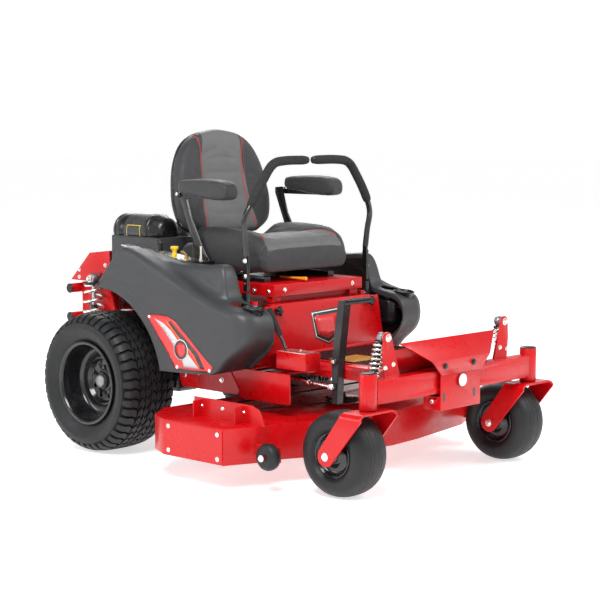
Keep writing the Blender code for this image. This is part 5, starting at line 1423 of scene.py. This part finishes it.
def bracket_fittings():
    """On the front bracket: the foot plate's bolts, a round tag, and two slots drawn as dark film, painted
    shade in place of the openings.
    """
    black = Shape("black_steel")
    for x in (-0.088, 0.062):
        black.bolt((x, -1.3022, 0.3985), -Y_AXIS, 0.008)
    black.made("foot_plate_bolts", "chassis", sharp=40.0)
    tag = Shape("white_label")
    for paint, radius, ahead in (("white_label", 0.021, 0.0), ("silver_label", 0.017, 0.0004),
                                 ("white_label", 0.0145, 0.0008)):
        tag.paint(paint).turned([(ahead, radius), (ahead + 0.0003, radius - 0.0002)], (0.0, -1.3062, 0.345),
                                -Y_AXIS, 40)
    tag.made("round_tag", "chassis", sharp=50.0)
    # painted shade: thin dark films where the bracket's two slots would open
    slots = Shape("dark_label")
    for x in (-0.088, 0.072):
        outline = rounded_outline([(x - 0.006, 0.281), (x + 0.006, 0.281), (x + 0.006, 0.311),
                                   (x - 0.006, 0.311)], 0.006)
        slots.prism(outline, "y", -1.2979, -1.2974)
    slots.made("bracket_slots", "chassis", sharp=50.0)


def footwell():
    """The ribbed mat, a striped patch and a shield-shaped badge on the floor pan's upright panel."""
    mat = Shape("black_plastic")
    outline = rounded_outline([(-0.2, -1.165), (0.235, -1.165), (0.235, -0.72), (-0.2, -0.72)], 0.02)
    mat.prism(outline, "z", 0.3889, 0.3912)
    for k in range(26):
        y = -1.15 + k * 0.0165
        mat.box(-0.19, 0.225, y, y + 0.0065, 0.3905, 0.393)
    mat.made("foot_mat", "chassis", slot="black_plastic", sharp=50.0)
    patch = Shape("stripe_label").box(-0.195, -0.05, -0.995, -0.88, 0.3932, 0.3938)
    patch.made("warning_patch", "chassis", sharp=50.0)
    panel = [(-0.066, 0.528), (0.078, 0.534), (0.078, 0.44), (0.006, 0.408), (-0.06, 0.436)]
    panel_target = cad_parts["floor_pan"]

    def ahead_of_panel(x, z):
        return (x, -0.9, z)
    for paint, drawn, lift in (("dark_label", 0.0, 0.0006), ("white_label", 0.005, 0.001),
                               ("dark_label", 0.009, 0.0014), ("red_label", 0.022, 0.0018)):
        outline = inset_outline(panel, drawn) if drawn else panel
        decal(f"panel_badge_{int(drawn * 1000)}", "chassis", paint, outline, panel_target, ahead_of_panel,
              (0, 1, 0), lift, 0.03)


def height_scale():
    scale = Shape("bright_steel")
    scale.box(-0.333, -0.264, -0.902, -0.773, 0.424, 0.4256)
    # painted shade: a dark strip where the scale's slot opens; the tick marks after it are print
    scale.paint("dark_label")
    scale.box(-0.3205, -0.3115, -0.892, -0.783, 0.4256, 0.426)
    for k in range(9):
        y = -0.888 + k * 0.0125
        scale.box(-0.306, -0.296, y, y + 0.0022, 0.4256, 0.4259)
    scale.paint("bright_steel").rod((-0.285, -0.835, 0.424), (-0.285, -0.835, 0.43), 0.0042)
    scale.made("height_scale", "chassis", slot="bright_steel", sharp=40.0)


def link_rod():
    """The rod from the pedal's lower end back towards the deck. Its rear end stays with the frame."""
    rod = Shape("bright_steel")
    rod.rod(PEDAL_END, FRAME_END, 0.0058)
    rod.rod((-0.269, -0.86, 0.3194), (-0.269, -0.845, 0.3202), 0.009)
    rod.rod((-0.272, -0.96, 0.314), (-0.2655, -0.96, 0.314), 0.0105)
    rod.bolt((-0.272, -0.96, 0.314), -X_AXIS, 0.0085, washer=False)
    rod = rod.made("link_rod", None, slot="bright_steel", sharp=40.0)
    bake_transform(rod)


def side_cover():
    """The plate over the deck's right side, thinner than the CAD's so that its rivets stay within that."""
    outline = rounded_outline([(-0.834, 0.088), (-0.552, 0.088), (-0.552, 0.201), (-0.834, 0.201)], 0.006)
    outer_face = -0.6526
    cover = Shape("red_paint").prism(outline, "x", outer_face, -0.6504)
    rivet = [(0.0, 0.0082), (0.0007, 0.0082), (0.0009, 0.0066), (0.0022, 0.0058), (0.003, 0.004),
             (0.0033, 0.0012)]
    cover.paint("bright_steel")
    for y, z in ((-0.575, 0.185), (-0.811, 0.185), (-0.575, 0.104), (-0.811, 0.104)):
        cover.turned(rivet, (outer_face, y, z), -X_AXIS, 24)
    cover = cover.made("side_cover", "deck", slot="red_paint", sharp=30.0)
    bevel(cover, 0.0005, 2)
    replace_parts(cover, "discharge_cover")


def deck_bolts():
    for side in SIDES.values():
        fastener("deck", (side * 0.608, -0.968, 0.122), X_AXIS * side, 0.0085)
        for y in (-0.6, -0.7, -0.8):
            fastener("deck", (side * 0.52, y, 0.24), X_AXIS * side, 0.0055)
    for x, y in SPINDLES:
        for a in round_angles(4, 0.5):
            fastener("deck", (x + 0.034 * math.cos(a), y + 0.034 * math.sin(a), 0.2118), Z_AXIS, 0.005)


def rollers():
    for name, side in SIDES.items():
        roller = Shape("tyre_rubber")
        half = [(0.0, 0.0448), (0.006, 0.0444), (0.013, 0.0422), (0.019, 0.037), (0.0225, 0.03),
                (0.0238, 0.022), (0.0238, 0.0092)]
        profile = [(-u, r) for u, r in reversed(half[1:])] + half
        roller.turned(profile, (side * 0.575, -0.968, 0.122), X_AXIS, 48, closed=True)
        made = roller.made(f"scalp_wheel_{name}", f"roller_{name}", sharp=40.0)
        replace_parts(made, f"anti_scalp_roller_{name}")


# ---------------------------------------------------------------- CAD parts that keep their shape
KEPT = {"red_paint": ["main_frame", "floor_pan", "foot_plate", "axle_bracket", "engine_guard",
                      "seat_pedestal", "seat_platform", "front_axle_beam", "deck_shell"],
        "black_steel": ["seat_frame", "rear_subframe", "transaxle_right", "transaxle_left",
                        "lever_base_right", "lever_base_left", "spindle_right", "spindle_centre",
                        "spindle_left"], "grey_plastic": ["engine_side_cowl"],
        "black_plastic": ["fuel_tank"], "bright_steel": ["blade_right", "blade_centre", "blade_left"],
        "tyre_rubber": ["deck_belt"], "orange_plastic": ["seat_slide_lever"]}
EDGE_WIDTHS = {"grey_plastic": 0.003, "black_plastic": 0.005, "deck_shell": 0.0009, "main_frame": 0.0014}


def finish_kept_parts():
    for paint, names in KEPT.items():
        for name in names:
            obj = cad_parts[name]
            obj.data.materials.clear()
            obj.data.materials.append(MATERIALS[paint])
            for face in obj.data.polygons:
                face.material_index = 0
                face.use_smooth = True
            modifier(obj, "WELD", merge_threshold=0.00002)
            bevel(obj, EDGE_WIDTHS.get(name, EDGE_WIDTHS.get(paint, 0.0011)), 2)


# ---------------------------------------------------------------- studio
def studio():
    scene = bpy.context.scene
    floor = Shape("studio_floor").grid([[(-40, -40, 0.0), (40, -40, 0.0)], [(-40, 40, 0.0), (40, 40, 0.0)]])
    mesh = bpy.data.meshes.new("floor")
    floor.bm.to_mesh(mesh)
    mesh.materials.append(MATERIALS["studio_floor"])
    ground = bpy.data.objects.new("floor", mesh)
    scene.collection.objects.link(ground)

    world = bpy.data.worlds.new("studio")
    world.use_nodes = True
    nodes, links = world.node_tree.nodes, world.node_tree.links
    height = nodes.new("ShaderNodeSeparateXYZ")
    links.new(nodes.new("ShaderNodeTexCoord").outputs["Generated"], height.inputs[0])
    grade = nodes.new("ShaderNodeMapRange")
    links.new(height.outputs["Z"], grade.inputs["Value"])
    for socket, number in (("From Min", 0.16), ("From Max", 0.5), ("To Min", 1.02), ("To Max", 0.34)):
        grade.inputs[socket].default_value = number
    links.new(grade.outputs["Result"], nodes["Background"].inputs[1])
    nodes["Background"].inputs[0].default_value = (1.0, 1.0, 1.0, 1.0)
    scene.world = world
    target = Vector((0.0, 0.0, 0.55))
    for name, place, size, power in (("key", (-2.6, -1.6, 4.0), 2.0, 210.0),
                                     ("front", (2.2, -3.4, 3.2), 2.0, 90.0),
                                     ("side", (-4.2, 2.4, 2.4), 1.6, 45.0),
                                     ("back", (2.8, 3.2, 3.6), 2.5, 100.0)):
        light = bpy.data.lights.new(name, "AREA")
        light.energy, light.size, light.shape = power, size, "SQUARE"
        lamp = bpy.data.objects.new(name, light)
        lamp.location = place
        lamp.rotation_euler = (target - Vector(place)).to_track_quat("-Z", "Y").to_euler()
        scene.collection.objects.link(lamp)

    lens = bpy.data.cameras.new("camera")
    lens.lens, lens.sensor_width, lens.clip_end = 101.93, 36.0, 200.0
    camera = bpy.data.objects.new("camera", lens)
    camera.location = (-4.401, -4.3143, 1.203)
    aim = Vector((0.0676, -0.0604, 0.5461)) - camera.location
    camera.rotation_euler = aim.to_track_quat("-Z", "Y").to_euler()
    scene.collection.objects.link(camera)
    scene.camera = camera
    scene.view_settings.view_transform = "Standard"
    scene.view_settings.look = "None"
    scene.view_settings.exposure = 0.0


# ---------------------------------------------------------------- assembly
def build():
    finish_kept_parts()
    for name, side in SIDES.items():
        rear_tyre(name, side)
        rear_rim(name, side)
        caster_wheel(name, side)
        caster_fork(name, side)
        front_shock(name, side)
        rear_shock(name, side)
        fender_decals(name, side, fender(name, side))
        armrest(name, side)
        control_lever(name, side)
    seat_cushion()
    seat_backrest()
    lift_pedal()
    height_lever()
    engine()
    blower()
    air_canister()
    exhaust()
    console()
    side_fittings()
    bracket_fittings()
    footwell()
    height_scale()
    link_rod()
    side_cover()
    deck_bolts()
    rollers()
    for body, bolts in FASTENERS.items():
        bolts.made(f"fasteners_{body}", body, sharp=35.0)


build()
studio()
bpy.context.view_layer.update()
